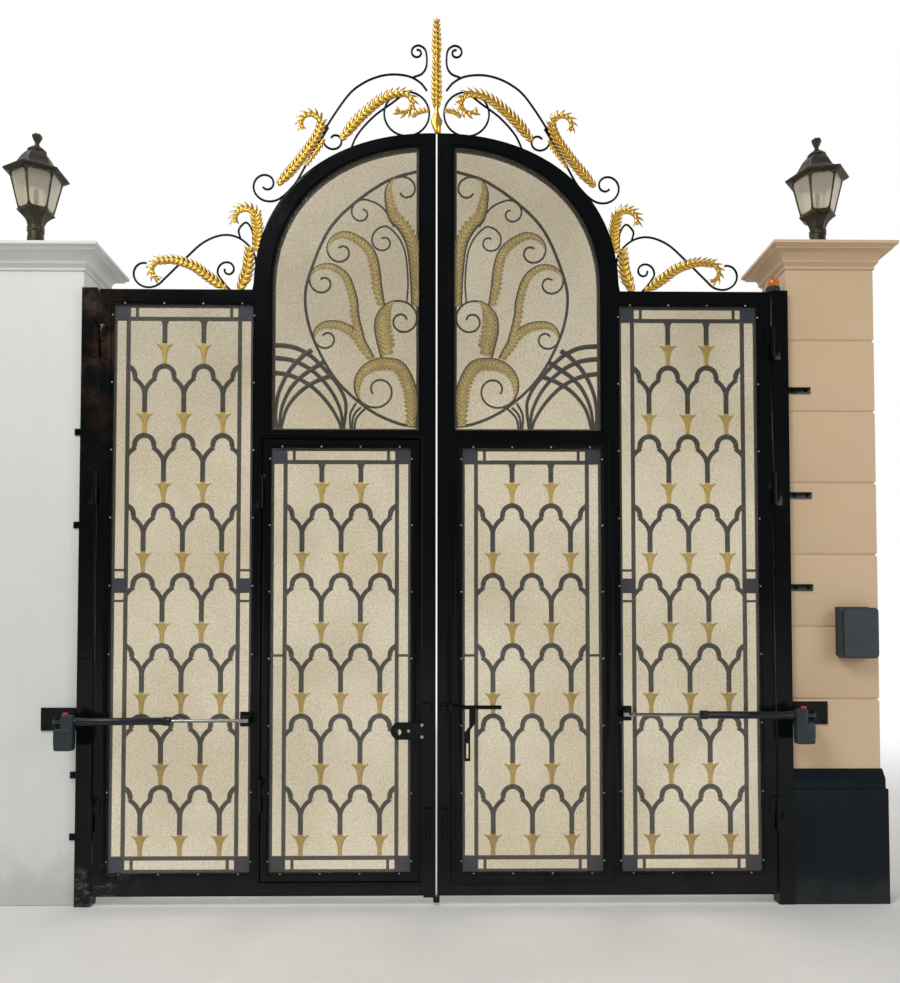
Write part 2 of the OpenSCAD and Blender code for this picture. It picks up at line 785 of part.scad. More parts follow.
module crest_scrolls(side) {
    color("black")
        at_side(side)
            upright(crest_y, crest_t)
                above_leaf() {
                    for (s = crest_coils) line(crest_scroll(s), thin_w);
                    for (p = crest_lines) line(spline(crest_points(p), 4), thin_w);
                    translate([crest_ring_r + 41, arch_z + arch_rise_out + crest_ring_r - 6])
                        difference() {
                            circle(r = crest_ring_r + thin_w / 2, $fn = 48);
                            circle(r = crest_ring_r - thin_w / 2, $fn = 48);
                        }
                }
}

// The gold leaves: [scroll, width, lobes]
crest_feathers = [
    [[[[530, 4186], [440, 4298], [335, 4396], [255, 4443], [188, 4455]],
        [188, 4392], curl_back, 0.64, 50], 66, 15],
    [[[[876, 3932], [766, 4060], [672, 4192], [640, 4275]], [700, 4278], curl, 0.62, 52], 64, 15],
    [[[[990, 3560], [982, 3650], [992, 3735]], [1055, 3740], curl, 0.57, 58], 70, 11],
    [[[[1152, 3346], [1248, 3415], [1332, 3474], [1428, 3508], [1508, 3508]],
        [1512, 3450], curl, 0.5, 50], 62, 15],
];
crest_sprigs = [
    [[[622, 4190], [652, 4140], [722, 4040]], 38, 6],
    [[[1081, 3344], [1040, 3455], [1028, 3585]], 76, 7],
    [[[136, 4320], [98, 4348], [42, 4358]], 40, 4],
];

module crest_leaves(side) {
    color("gold")
        at_side(side)
            upright(leaf_ornament_y, leaf_ornament_t)
                above_leaf() {
                    for (f = crest_feathers) feather(crest_scroll(f[0], 8), f[1], f[2]);
                    for (f = crest_sprigs) feather(spline(crest_points(f[0]), 8), f[1], f[2]);
                }
}

// The finial stands on the right leaf: a pointed bell under two feathered tiers
module crest_finial() {
    base_z = arch_z + arch_rise_out;
    color("gold")
        at_side(RIGHT)
            upright(front_y + (leaf_t - finial_t) / 2, finial_t)
                above_leaf() {
                    feather([for (i = [0:24]) [0, base_z + 165 + i * 13]], 66, 8);
                    feather([for (i = [0:24]) [0, base_z + 430 + i * 10.2]], 60, 8);
                    polygon([[0, base_z + 4], [22, base_z + 40], [32, base_z + 76], [19, base_z + 110],
                        [11, base_z + 150], [11, base_z + 440], [-11, base_z + 440], [-11, base_z + 150],
                        [-19, base_z + 110], [-32, base_z + 76], [-22, base_z + 40]]);
                    rect(leaf_in + 2, base_z - 3, leaf_in + 20, base_z + 60);
                }
}

// Rams

function ram_z(side) = side == LEFT ? ram_z_left : ram_z_right;

module along_ram(side) {
    at_side(side)
        translate([ram_rear[0], ram_rear[1], ram_z(side)])
            rotate([0, 0, 180 - ram_angle])
                children();
}

// A round bar that lies along x
module lying(x, r, h) {
    rotate([0, 90, 0]) translate([0, 0, x]) cylinder(r = r, h = h, $fn = 48);
}

module ram_tube(side) {
    color("dimgray")
        along_ram(side) {
            difference() {
                union() {
                    lying(housing_end, tube_r, tube_len - housing_end);
                    lying(tube_len - collar_len, tube_r + 4, collar_len);
                }
                lying(bore_start, rod_r + rod_bore_clear, tube_len);
            }
        }
}

module ram_motor(side) {
    color("slategray")
        along_ram(side) {
            difference() {
                union() {
                    box(housing_start, -32, -26, housing_end, 32, 34);
                    box(housing_start + 2, -34, -motor_drop, housing_end, 34, -25);
                    box(-housing_back, -34, -motor_drop, housing_end, 34, -housing_top);
                    translate([0, 0, -eye_t / 2]) cylinder(r = ear_r, h = eye_t, $fn = 48);
                    box(0, -12, -eye_t / 2, housing_start + 2, 12, eye_t / 2);
                    translate([housing_start + 17, 0, 33]) cylinder(r = 15, h = 14, $fn = 48);
                }
                translate([0, 0, -20]) cylinder(r = pivot_r + pin_clear, h = 40, $fn = 48);
            }
        }
}

module ram_rod(side) {
    color("silver")
        along_ram(side) {
            lying(tube_len - rod_inside, rod_r, ram_len - eye_r - tube_len + rod_inside + 4);
            difference() {
                union() {
                    translate([ram_len, 0, -eye_t / 2]) cylinder(r = eye_r, h = eye_t, $fn = 48);
                    box(ram_len - eye_r - 24, -12, -eye_t / 2, ram_len - eye_r + 6, 12, eye_t / 2);
                }
                translate([ram_len, 0, -eye_t]) cylinder(r = pivot_r, h = 2 * eye_t, $fn = 48);
            }
        }
}

// Rear bracket: a plate on the pier, two ears and the pivot pin
module ram_bracket(side) {
    z = ram_z(side);
    u = ram_rear[0];
    y = ram_rear[1];
    reach = eye_t / 2 + fork_gap;
    color("black")
        at_side(side) {
            box(gate_w / 2 + 3, -pier_d / 2 - 8, z - 64, gate_w / 2 + 200, -pier_d / 2, z + 60);
            for (ear_z = [z - reach - ear_t, z + reach]) {
                box(u - ear_r, y, ear_z, u + ear_r, -pier_d / 2 - 7, ear_z + ear_t);
                post(u, y, ear_z, ear_r, ear_t);
            }
            post(u, y, z - reach - ear_t - 6, pivot_r, 2 * (reach + ear_t + 6));
        }
}

// Front bracket on the leaf: a plate and two ears that the rod's eye lies between
module leaf_bracket(side) {
    z = ram_z(side);
    u = ram_fore[0];
    y = ram_fore[1];
    reach = eye_t / 2 + fork_gap;
    color("black")
        at_side(side) {
            box(u - 42, front_y - 6, z - 40, u + 46, front_y, z + 40);
            for (ear_z = [z - reach - ear_t, z + reach])
                box(u - 20, y - 20, ear_z, u + 20, front_y - 5, ear_z + ear_t);
            for (head_z = [z - reach - ear_t - 7, z + reach + ear_t - 1]) post(u, y, head_z, 11, 8);
        }
}

// Stile fittings

module stile_fittings(side) {
    color("black")
        at_side(side) {
            post(46, front_y - 12, 335, 9, 187);
            for (z = [335, 420, 500]) box(30, front_y - 14, z, 62, front_y, z + 22);
            if (side == LEFT) {
                difference() {
                    box(34, bolt_y - bolt_r - 8, bolt_z - 22, 74, front_y, bolt_z + 22);
                    translate([0, bolt_y, bolt_z]) lying(30, bolt_r + 2, 50);
                }
                box(leaf_in, front_y + leaf_t / 2 - 10, 40, 70, front_y + leaf_t / 2 + 10, leaf_z);
                post(0, front_y + leaf_t / 2, 14, 18, 33);
            } else
                for (u = [30, 68])
                    difference() {
                        box(u, bolt_y - bolt_r - 8, bolt_z - 22, u + 16, front_y, bolt_z + 22);
                        translate([0, bolt_y, bolt_z]) lying(u - 5, bolt_r + bolt_clear, 30);
                    }
        }
}

module slide_bolt() {
    color("black")
        at_side(RIGHT) {
            translate([0, bolt_y, bolt_z]) lying(bolt_tip, bolt_r, bolt_len);
            upright(bolt_y - 4, 8)
                difference() {
                    translate([0, bolt_z])
                        polygon([[176, 0], [210, 0], [210, -83], [182, -123],
                            [182, -288], [150, -288], [150, -138], [176, -103]]);
                    rect(160, bolt_z - 273, 172, bolt_z - 193);
                }
        }
}

module wicket_latch_plate() {
    color("black")
        at_side(LEFT) {
            upright(front_y - 8, 8)
                difference() {
                    union() {
                        rect(62, 888, 200, 982);
                        translate([200, 935]) circle(r = 47, $fn = 48);
                    }
                    translate([205, 929]) circle(r = 16, $fn = 32);
                }
        }
}

// The control box: a back plate and a cover with rounded corners, under a slightly smaller front
module rounded_box(inset, r) {
    offset(r = r) rect(inset + r, inset + r, box_w - inset - r, box_h - inset - r);
}

module control_box() {
    back = -pier_d / 2;
    plate = 8;
    lip = 9;
    color("darkslategray")
        at_side(RIGHT)
            translate([gate_w / 2 + right_pier_w - box_inset - box_w, 0, box_z]) {
                box(-2, back - plate, 19, box_w - 20, back, box_h + 6);
                upright(back - box_d + lip, box_d - lip - plate + tiny) rounded_box(0, 24);
                upright(back - box_d, lip + tiny) rounded_box(8, 18);
            }
}

// Lanterns

module lantern_ring(r0, r1, z0, z1) {
    translate([0, 0, z0]) cylinder(r1 = r0, r2 = r1, h = z1 - z0, $fn = 6);
}

function stem_h(side) = side == LEFT ? left_stem_h : right_stem_h;

module on_stem(side) {
    translate([0, 0, stem_h(side)]) children();
}

// Each lantern stands as it was fixed, turned a little from square
module at_lantern(side) {
    at_pier(side)
        translate([side == LEFT ? 0 : lantern_shift, 0, pier_h(side) + cornice_h])
            rotate([0, 0, side == LEFT ? 31 : -10])
                children();
}

module lantern_frame(side) {
    r = lantern_w / 2;
    k = lantern_h / 740;
    color("darkslategray")
        at_lantern(side) {
            cylinder(r = 62, h = 14 * k, $fn = 48);
            cylinder(r1 = 54, r2 = 42, h = stem_h(side) + 4, $fn = 48);
            on_stem(side) {
                cylinder(r = 47, h = 26 * k, $fn = 48);
                lantern_ring(46, 100, 25 * k, 110 * k);
                lantern_ring(100, 95, 110 * k, 120 * k);
                translate([0, 0, 118 * k]) cylinder(r = 13, h = 127 * k, $fn = 32);
                for (a = [0:60:300]) rotate([0, 0, a]) slanted_bar(88, r * 0.8, 113 * k, 320 * k);
                lantern_ring(r * 0.86, r, 315 * k, 338 * k);
                lantern_ring(r, 104, 338 * k, 388 * k);
                lantern_ring(104, 54, 388 * k, 462 * k);
                lantern_ring(54, 40, 462 * k, 500 * k);
                translate([0, 0, 496 * k]) cylinder(r = 18, h = 72 * k, $fn = 32);
            }
        }
}

// A slanted corner bar between two radii
module slanted_bar(r0, r1, z0, z1) {
    w = 6;
    rotate([90, 0, 0])
        translate([0, 0, -w])
            linear_extrude(2 * w) polygon([[r0 - w, z0], [r0 + w, z0], [r1 + w, z1], [r1 - w, z1]]);
}

module lantern_panes(side) {
    r = lantern_w / 2;
    k = lantern_h / 740;
    color("lightyellow", 0.7)
        at_lantern(side)
            on_stem(side)
                difference() {
                    lantern_ring(81, r * 0.8 - 8, 120.3 * k, 314.7 * k);
                    lantern_ring(75, r * 0.8 - 14, 119 * k, 316 * k);
                }
}

module warning_beacon() {
    color("orange")
        at_side(RIGHT)
            translate([clear_half + 20, front_y + jamb_d / 2, jamb_h])
                rotate_extrude($fn = 48)
                    polygon([[0, 0], [38, 0], [38, 32], [34, 34], [34, 62], [26, 80], [12, 88], [0, 90]]);
}

at_pier(LEFT) pier(LEFT);  // left_pier
at_pier(RIGHT) pier(RIGHT);  // right_pier
at_pier(LEFT) cornice(LEFT);  // left_cornice
at_pier(RIGHT) cornice(RIGHT);  // right_cornice
at_pier(RIGHT) plinth();  // right_plinth
jamb(LEFT);  // left_jamb
jamb(RIGHT);  // right_jamb
ram_bracket(LEFT);  // left_ram_bracket
ram_bracket(RIGHT);  // right_ram_bracket
warning_beacon();
control_box();
lantern_frame(LEFT);  // left_lantern_frame
lantern_frame(RIGHT);  // right_lantern_frame
lantern_panes(LEFT);  // left_lantern_panes
lantern_panes(RIGHT);  // right_lantern_panes
leaf_frame(LEFT);  // left_leaf_frame
grille(LEFT, side_u, side_glass_top_z);  // left_side_grille
capitals(LEFT, side_u, side_glass_top_z);  // left_side_capitals
glass(LEFT, side_u, side_glass_top_z);  // left_side_glass
arch_scrolls(LEFT);  // left_arch_scrolls
arch_plumes(LEFT);  // left_arch_plumes
arch_glass(LEFT);  // left_arch_glass
crest_scrolls(LEFT);  // left_crest_scrolls
crest_leaves(LEFT);  // left_crest_leaves
leaf_bracket(LEFT);  // left_leaf_bracket
stile_fittings(LEFT);  // left_stile_fittings
leaf_frame(RIGHT);  // right_leaf_frame
grille(RIGHT, side_u, side_glass_top_z);  // right_side_grille
capitals(RIGHT, side_u, side_glass_top_z);  // right_side_capitals
glass(RIGHT, side_u, side_glass_top_z);  // right_side_glass
arch_scrolls(RIGHT);  // right_arch_scrolls
arch_plumes(RIGHT);  // right_arch_plumes
arch_glass(RIGHT);  // right_arch_glass
crest_scrolls(RIGHT);  // right_crest_scrolls
crest_leaves(RIGHT);  // right_crest_leaves
crest_finial();
leaf_bracket(RIGHT);  // right_leaf_bracket
stile_fittings(RIGHT);  // right_stile_fittings
panel_frame(RIGHT);  // right_panel_frame
grille(RIGHT, centre_u, centre_glass_top_z);  // right_panel_grille
capitals(RIGHT, centre_u, centre_glass_top_z);  // right_panel_capitals
glass(RIGHT, centre_u, centre_glass_top_z);  // right_panel_glass
panel_frame(LEFT);  // wicket_frame
grille(LEFT, centre_u, centre_glass_top_z);  // wicket_grille
capitals(LEFT, centre_u, centre_glass_top_z);  // wicket_capitals
glass(LEFT, centre_u, centre_glass_top_z);  // wicket_glass
wicket_latch_plate();
ram_tube(LEFT);  // left_ram_tube
ram_motor(LEFT);  // left_ram_motor
ram_rod(LEFT);  // left_ram_rod
ram_tube(RIGHT);  // right_ram_tube
ram_motor(RIGHT);  // right_ram_motor
ram_rod(RIGHT);  // right_ram_rod
slide_bolt();
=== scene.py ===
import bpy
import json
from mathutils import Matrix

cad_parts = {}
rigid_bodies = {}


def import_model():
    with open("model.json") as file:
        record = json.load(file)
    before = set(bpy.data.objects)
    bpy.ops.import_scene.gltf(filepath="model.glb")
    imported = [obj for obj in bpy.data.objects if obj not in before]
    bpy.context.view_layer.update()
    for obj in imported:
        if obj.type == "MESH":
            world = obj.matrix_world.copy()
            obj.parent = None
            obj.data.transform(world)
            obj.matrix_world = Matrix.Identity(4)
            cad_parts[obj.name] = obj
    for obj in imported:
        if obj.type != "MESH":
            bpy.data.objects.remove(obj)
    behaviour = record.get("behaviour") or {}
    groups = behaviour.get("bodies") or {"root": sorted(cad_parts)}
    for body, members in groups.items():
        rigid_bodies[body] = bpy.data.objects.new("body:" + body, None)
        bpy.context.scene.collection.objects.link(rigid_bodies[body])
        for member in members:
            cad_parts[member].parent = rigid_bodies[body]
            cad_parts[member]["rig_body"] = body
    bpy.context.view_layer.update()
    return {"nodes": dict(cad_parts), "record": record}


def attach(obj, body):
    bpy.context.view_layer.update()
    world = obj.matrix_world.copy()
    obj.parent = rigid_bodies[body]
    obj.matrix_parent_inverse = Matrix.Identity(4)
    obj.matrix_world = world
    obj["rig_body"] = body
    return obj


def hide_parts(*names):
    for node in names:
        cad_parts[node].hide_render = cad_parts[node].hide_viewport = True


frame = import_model()

import json
import math

import bmesh
import bpy
import numpy as np
from mathutils import Vector

bl_info = {
    "name": "Wrought iron driveway gate",
    "version": (1, 0, 0),
    "blender": (4, 5, 0),
    "location": "3D View > Sidebar > Gate",
    "description": "Finishes and fine detail for a double driveway gate with an arched crest",
    "category": "Object",
}

# Places and sizes of the model, in metres. u is measured outwards from the gate's centre.
LEFT, RIGHT = -1, 1
SIDE_NAME = {LEFT: "left", RIGHT: "right"}
GATE_X = 2.280

# Piers and jambs
PIER_X = {LEFT: 0.0, RIGHT: 4.460}
PIER_W = {LEFT: 0.690, RIGHT: 0.490}
PIER_D = 0.320
PIER_H = {LEFT: 3.452, RIGHT: 3.480}
CORNICE_H = 0.127
CORNICE_OUT = 0.098
JAMB_OUT = 1.935
JAMB_H = 3.350
CLEAR_HALF = 1.850

# Leaves, panes and the gap round the wicket door: u from and to, z from and to
SIDE_TOP_Z = 3.344
FRONT_Y = -0.190
LEAF_T = 0.050
GLASS_W = 0.7585
SIDE_U = 1.38275
CENTRE_U = 0.52025
GLASS_Z = 0.177
SIDE_GLASS_TOP = 3.260
CENTRE_GLASS_TOP = 2.472
TRANSOM_TOP = 2.570
WICKET_GAP = (0.087, 0.9535, 0.123, 2.526)
STOP_LAP = 0.018
STOP_SEAT = 0.014
STOP_T = 0.004
STOP_CLEAR = 0.0006

# Arched window
ARCH_GLASS_IN = 0.098
ARCH_GLASS_OUT = 0.8995
ARCH_RISE_IN = 0.804
ARCH_RISE_OUT = 0.880
ARCH_POWER = 2.2
ARCH_OUT = 1.0035
PLUME_Y = -0.164
SCROLL_Y = -0.158
SCROLL_T = 0.010

# Grilles
GRILLE_Y = -0.170
GRILLE_T = 0.010
CORNER_W = 0.086
BAR_W = 0.022
ARCH_BAR_W = 0.027
RIM_W = 0.014
PITCH = 0.213
ROW_H = 0.382
CAP_H = 0.114
CAP_W = 0.090
CUSP_Z = 0.180
BRANCH_R = 0.112
BRANCH_W = 0.024
ARCH_BAR_R = 0.066
SEAM = 0.0005
# Heights of the small bars between rim and border in a low and in a tall pane, and of a tall pane's
# middle square
MID_RAILS = {False: ((1.334, 1.348),), True: ((1.630, 1.643), (1.798, 1.811))}
MID_SQUARE = (1.680, 1.761)

# Crest
CREST_Y = -0.171
CREST_T = 0.012
CREST_BAR_W = 0.011
CREST_BAR_EDGE = 0.0032
LEAF_RISE = 0.006

# Rams: u and y of both pivots, height of the axis
RAM_REAR = (1.986, -0.322)
RAM_FORE = (1.010, -0.272)
RAM_Z = {LEFT: 1.000, RIGHT: 1.030}

# Lanterns: turn about the axis, height of the stem
HEX = 6
LANTERN_X = {LEFT: 0.0, RIGHT: 4.472}
LANTERN_TURN = {LEFT: math.radians(31), RIGHT: math.radians(-10)}
STEM_H = {LEFT: 0.159, RIGHT: 0.137}

# The picture's eye, and its lens on a sensor of this width
EYE = (2.280, -4.890, 1.489)
EYE_TURN = (math.radians(91.86), 0, math.radians(-0.71))
SENSOR_MM = 36.0
LENS_MM = 34.68
SHIFT = (0.0031, 0.1206)


# Curves in the gate's plane

def mm(points):
    """Points written in millimetres, in metres."""
    return np.asarray(points, float) / 1000


def to_points(*parts):
    """Points from their coordinates, each an array or a number, spread over one another's shape."""
    return np.stack(np.broadcast_arrays(*parts), -1)


def angles(count):
    """Angles spaced evenly round a circle, in radians."""
    return np.arange(count) / count * 2 * math.pi


def polar(centre, radius, angle):
    """Points at a radius and an angle from a centre."""
    return to_points(centre[0] + radius * np.cos(angle), centre[1] + radius * np.sin(angle))


def superellipse(power, count):
    """x and y of |x|^p + |y|^p = 1: the cosine and the sine, each to the power 2 / p with its sign kept."""
    a = angles(count)
    return (np.sign(f) * np.abs(f) ** (2 / power) for f in (np.cos(a), np.sin(a)))


def spline(points, steps, last=None):
    """A smooth line through points. Between b and c, with neighbours a and d, it is
    half of 2b + (c - a)t + (2a - 5b + 4c - d)t^2 + (3b - a - 3c + d)t^3, for t from 0 to 1."""
    p = np.asarray(points, float)
    p = np.vstack([2 * p[0] - p[1], p, 2 * p[-1] - p[-2]])
    a, b, c, d = (p[i:len(p) - 3 + i, None] for i in range(4))
    t = (np.arange(steps) / steps)[None, :, None]
    line = 2 * b + (c - a) * t + (2 * a - 5 * b + 4 * c - d) * t ** 2 + (3 * b - a - 3 * c + d) * t ** 3
    line = np.vstack([0.5 * line.reshape(-1, 2), p[-2:-1]])
    return line if last is None else line[:last * steps + 1]


def coil(start, centre, way, turns, inner, count):
    """A spiral from start round centre: the angle grows evenly and the radius is r (inner / r)^t."""
    v = np.asarray(start) - centre
    r, a = np.hypot(*v), math.atan2(v[1], v[0])
    t = np.arange(1, count + 1) / count
    return polar(centre, r * (inner / r) ** t, a + way * 2 * math.pi * turns * t)


def scroll_line(scroll, steps=8):
    """A scroll's line: a smooth body through its points, then a spiral of shrinking radius."""
    points, centre, way, turns, inner = scroll
    p, c, inner = mm(points), mm(centre), inner / 1000
    lead = coil(p[-1], c, way, turns, inner, math.ceil(turns * 10))
    body = spline(np.vstack([p, lead]), steps, last=len(p) - 1)
    return np.vstack([body, coil(p[-1], c, way, turns, inner, math.ceil(turns * 44))])


def along(path):
    """Distance walked along a path at each of its points."""
    return np.concatenate([[0], np.cumsum(np.hypot(*np.diff(path, axis=0).T))])


def even(path, count):
    """The same path with count points, evenly spaced along it."""
    s = along(path)
    t = np.linspace(0, s[-1], count)
    return to_points(*(np.interp(t, s, part) for part in path.T))


def headings(path, ring=False):
    """Unit tangent at each point, from its two neighbours, and the unit vector to its left."""
    if ring:
        d = np.roll(path, -1, axis=0) - np.roll(path, 1, axis=0)
    else:
        d = np.gradient(path, axis=0)
    d = d / np.maximum(np.hypot(*d.T), 1e-9)[:, None]
    return d, to_points(-d[:, 1], d[:, 0])


def to_gate(u, y, z, side):
    """Points given outwards, in depth and upwards, on the side asked for."""
    return to_points(GATE_X + side * np.asarray(u), y, z)


# Closed surfaces

def solid(verts, quads, tris=None):
    """Closed shells of one pattern, verts[k, i], facing outwards. A shell's volume is a sixth of the
    sum of a . (b x c) over its triangles; where that is negative, its faces are turned round."""
    verts = np.asarray(verts, float)
    tris = np.zeros((0, 3), int) if tris is None else tris
    local = verts - verts.mean(axis=1, keepdims=True)
    t = np.concatenate([quads[:, [0, 1, 2]], quads[:, [0, 2, 3]], tris])
    a, b, c = (local[:, t[:, i]] for i in range(3))
    inside_out = np.einsum("kij,kij->k", a, np.cross(b, c)) < 0
    start = np.arange(len(verts))[:, None, None] * verts.shape[1]

    def faces(pattern):
        """The pattern's faces on every shell."""
        f = pattern[None] + start
        f[inside_out] = f[inside_out][:, :, ::-1]
        return f.reshape(-1, pattern.shape[1])

    return verts.reshape(-1, 3), faces(quads), faces(tris)


def shells(grid, ring=False):
    """Closed surfaces through grid[k, i, j], point j of row i of shell k. Every row closes on itself.
    With ring the last row joins the first; otherwise a fan round its middle closes each end."""
    grid = np.asarray(grid, float)
    if grid.ndim == 3:
        grid = grid[None]
    k, n, m = grid.shape[:3]
    i, j = np.meshgrid(np.arange(n if ring else n - 1), np.arange(m), indexing="ij")
    i2, j2 = (i + 1) % n, (j + 1) % m
    quads = np.stack([i * m + j, i * m + j2, i2 * m + j2, i2 * m + j], -1).reshape(-1, 4)
    verts = grid.reshape(k, n * m, 3)
    if ring:
        return solid(verts, quads)
    verts = np.concatenate([verts, grid[:, [0, -1]].mean(axis=2)], axis=1)
    j = np.arange(m)
    first = to_points(n * m, (j + 1) % m, j)
    last = to_points(n * m + 1, (n - 1) * m + j, (n - 1) * m + (j + 1) % m)
    return solid(verts, quads, np.concatenate([first, last]))


def bar(path, width, near, far, side, edge=0.0015, ring=False, end=None):
    """A bar carried along a path in the gate's plane: path + across * a at depth b, where (a, b) runs
    round a rectangle, width by far - near, with its corners cut by edge. With end, the width changes
    evenly to it."""
    p = np.asarray(path, float)
    across = headings(p, ring)[1]
    w, e = np.linspace(width, end or width, len(p))[:, None] / 2, edge
    a = w * np.array([-1, -1, 1, 1, 1, 1, -1, -1]) + e * np.array([0, 1, -1, 0, 0, -1, 1, 0])
    b = np.array([near + e, near, near, near + e, far - e, far, far, far - e])
    return shells(to_gate(p[:, :1] + across[:, :1] * a, b, p[:, 1:] + across[:, 1:] * a, side), ring)


def slab(u0, z0, u1, z1, near, far, side, edge=0.0015):
    """A flat bar or plate: a rectangle carried from near to far, drawn in by edge at both faces."""
    y = np.array([near, near + edge, far - edge, far])[:, None]
    inset = np.array([edge, 0, 0, edge])[:, None]
    u = np.array([u0, u1, u1, u0]) + inset * np.array([1, -1, -1, 1])
    z = np.array([z0, z0, z1, z1]) + inset * np.array([1, 1, -1, -1])
    return shells(to_gate(u, y, z, side))


def turned(profile, origin, axis=(0, 0, 1), sides=32, corners=0, turn=0.0, wave=None):
    """A turned surface: at height h on the axis the radius is r(h), from the profile's (h, r). With
    corners the radius is times cos(pi / n) / cos(angle within its side - pi / n), a flat-sided shape."""
    profile = np.asarray(profile, float)
    w = np.asarray(axis, float) / np.linalg.norm(axis)
    u = np.array([1.0, 0, 0]) if abs(w[2]) > 0.99 else np.cross(w, [0, 0, 1.0])
    u = u / np.linalg.norm(u)
    v = np.cross(w, u)
    a, r = angles(sides), profile[:, 1:2]
    if corners:
        step = 2 * math.pi / corners
        r = r * math.cos(step / 2) / np.cos(np.mod(a, step) - step / 2)
    if wave is not None:
        r = r * wave(a, profile[:, :1])
    a = a + turn
    return origin + profile[:, :1, None] * w + (r * np.cos(a))[..., None] * u + (r * np.sin(a))[..., None] * v


def rounded_box(levels, place, power=5.0):
    """A soft-cornered body: at each level (z, x, y, half x, half y) the outline is a superellipse,
    |dx / half x|^p + |dy / half y|^p = 1, and place() puts the points where they go."""
    c, s = superellipse(power, 40)
    z, x, y, hx, hy = (np.asarray(levels, float)[:, i:i + 1] for i in range(5))
    return shells(place(x + hx * c, y + hy * s, z + 0 * c))


def repeated(shape, places):
    """One small grid of points at each of several places."""
    return shells(np.asarray(shape)[None] + np.asarray(places, float)[:, None, None])


# Objects

def body_of(node):
    """The body that a CAD node moves with."""
    return frame["nodes"][node]["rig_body"]


def slot_of(node):
    """The material slot that the record gives a CAD node."""
    return next(s["material_slot"] for s in frame["record"]["subparts"] if s["node"] == node)


def enter(name, mesh, body, slot, node=None, material=None, sharp=40):
    """An object of a mesh, shaded smoothly up to a limiting angle, with its finish, its body and the CAD
    node that it stands for."""
    obj = bpy.data.objects.new(name, mesh)
    bpy.context.scene.collection.objects.link(obj)
    mesh.polygons.foreach_set("use_smooth", np.ones(len(mesh.polygons), bool))
    mesh.set_sharp_from_angle(angle=math.radians(sharp))
    mesh.materials.clear()
    mesh.materials.append(finish(material or slot))
    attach(obj, body)
    if node:
        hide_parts(node)
    return obj


def piece(name, shapes, body, slot, node=None, rise=None, **looks):
    """A new object from closed surfaces, each (points, four-sided faces, triangles). rise gives, from the
    points, how far each stands out of the relief, from 0 to 1; a gold finish paints shade in the hollows
    and a highlight on the crests from it."""
    starts = np.cumsum([0] + [len(s[0]) for s in shapes[:-1]])
    verts = np.concatenate([s[0] for s in shapes])
    quads, tris = (np.concatenate([s[k] + o for s, o in zip(shapes, starts)]) for k in (1, 2))
    mesh = bpy.data.meshes.new(name)
    mesh.vertices.add(len(verts))
    mesh.vertices.foreach_set("co", verts.astype(np.float32).ravel())
    corners = np.concatenate([quads.ravel(), tris.ravel()]).astype(np.int32)
    mesh.loops.add(len(corners))
    mesh.loops.foreach_set("vertex_index", corners)
    first = np.concatenate([np.arange(len(quads)) * 4, len(quads) * 4 + np.arange(len(tris)) * 3])
    mesh.polygons.add(len(first))
    mesh.polygons.foreach_set("loop_start", first.astype(np.int32))
    mesh.update(calc_edges=True)
    share = np.ones(len(verts)) if rise is None else np.clip(rise(verts), 0, 1)
    mesh.attributes.new("rise", "FLOAT", "POINT").data.foreach_set("value", share.astype(np.float32))
    mesh.validate()
    return enter(name, mesh, body, slot, node, **looks)


def stand_in(name, shapes, node, **looks):
    """A new object in place of a CAD node, on its body and in its slot."""
    return piece(name, shapes, body_of(node), slot_of(node), node, **looks)


def eased(node, edge, segments=2, angle=28):
    """Stands for a CAD node with its own shape, merged into one skin, its sharp edges rounded."""
    mesh = frame["nodes"][node].data.copy()
    mesh.name = node + "_eased"
    bm = bmesh.new()
    bm.from_mesh(mesh)
    bmesh.ops.remove_doubles(bm, verts=bm.verts, dist=1e-5)
    bmesh.ops.dissolve_limit(bm, angle_limit=math.radians(0.5), verts=bm.verts, edges=bm.edges)
    bm.to_mesh(mesh)
    bm.free()
    obj = enter(node + "_eased", mesh, body_of(node), slot_of(node), node)
    bevel = obj.modifiers.new("Eased edges", "BEVEL")
    bevel.width, bevel.segments = edge, segments
    bevel.limit_method, bevel.angle_limit = "ANGLE", math.radians(angle)
    bevel.harden_normals = True


def repaint(node):
    """A CAD node whose shape is right keeps its mesh and takes its finish."""
    mesh = frame["nodes"][node].data
    mesh.materials.clear()
    mesh.materials.append(finish(slot_of(node)))


# Shader graphs

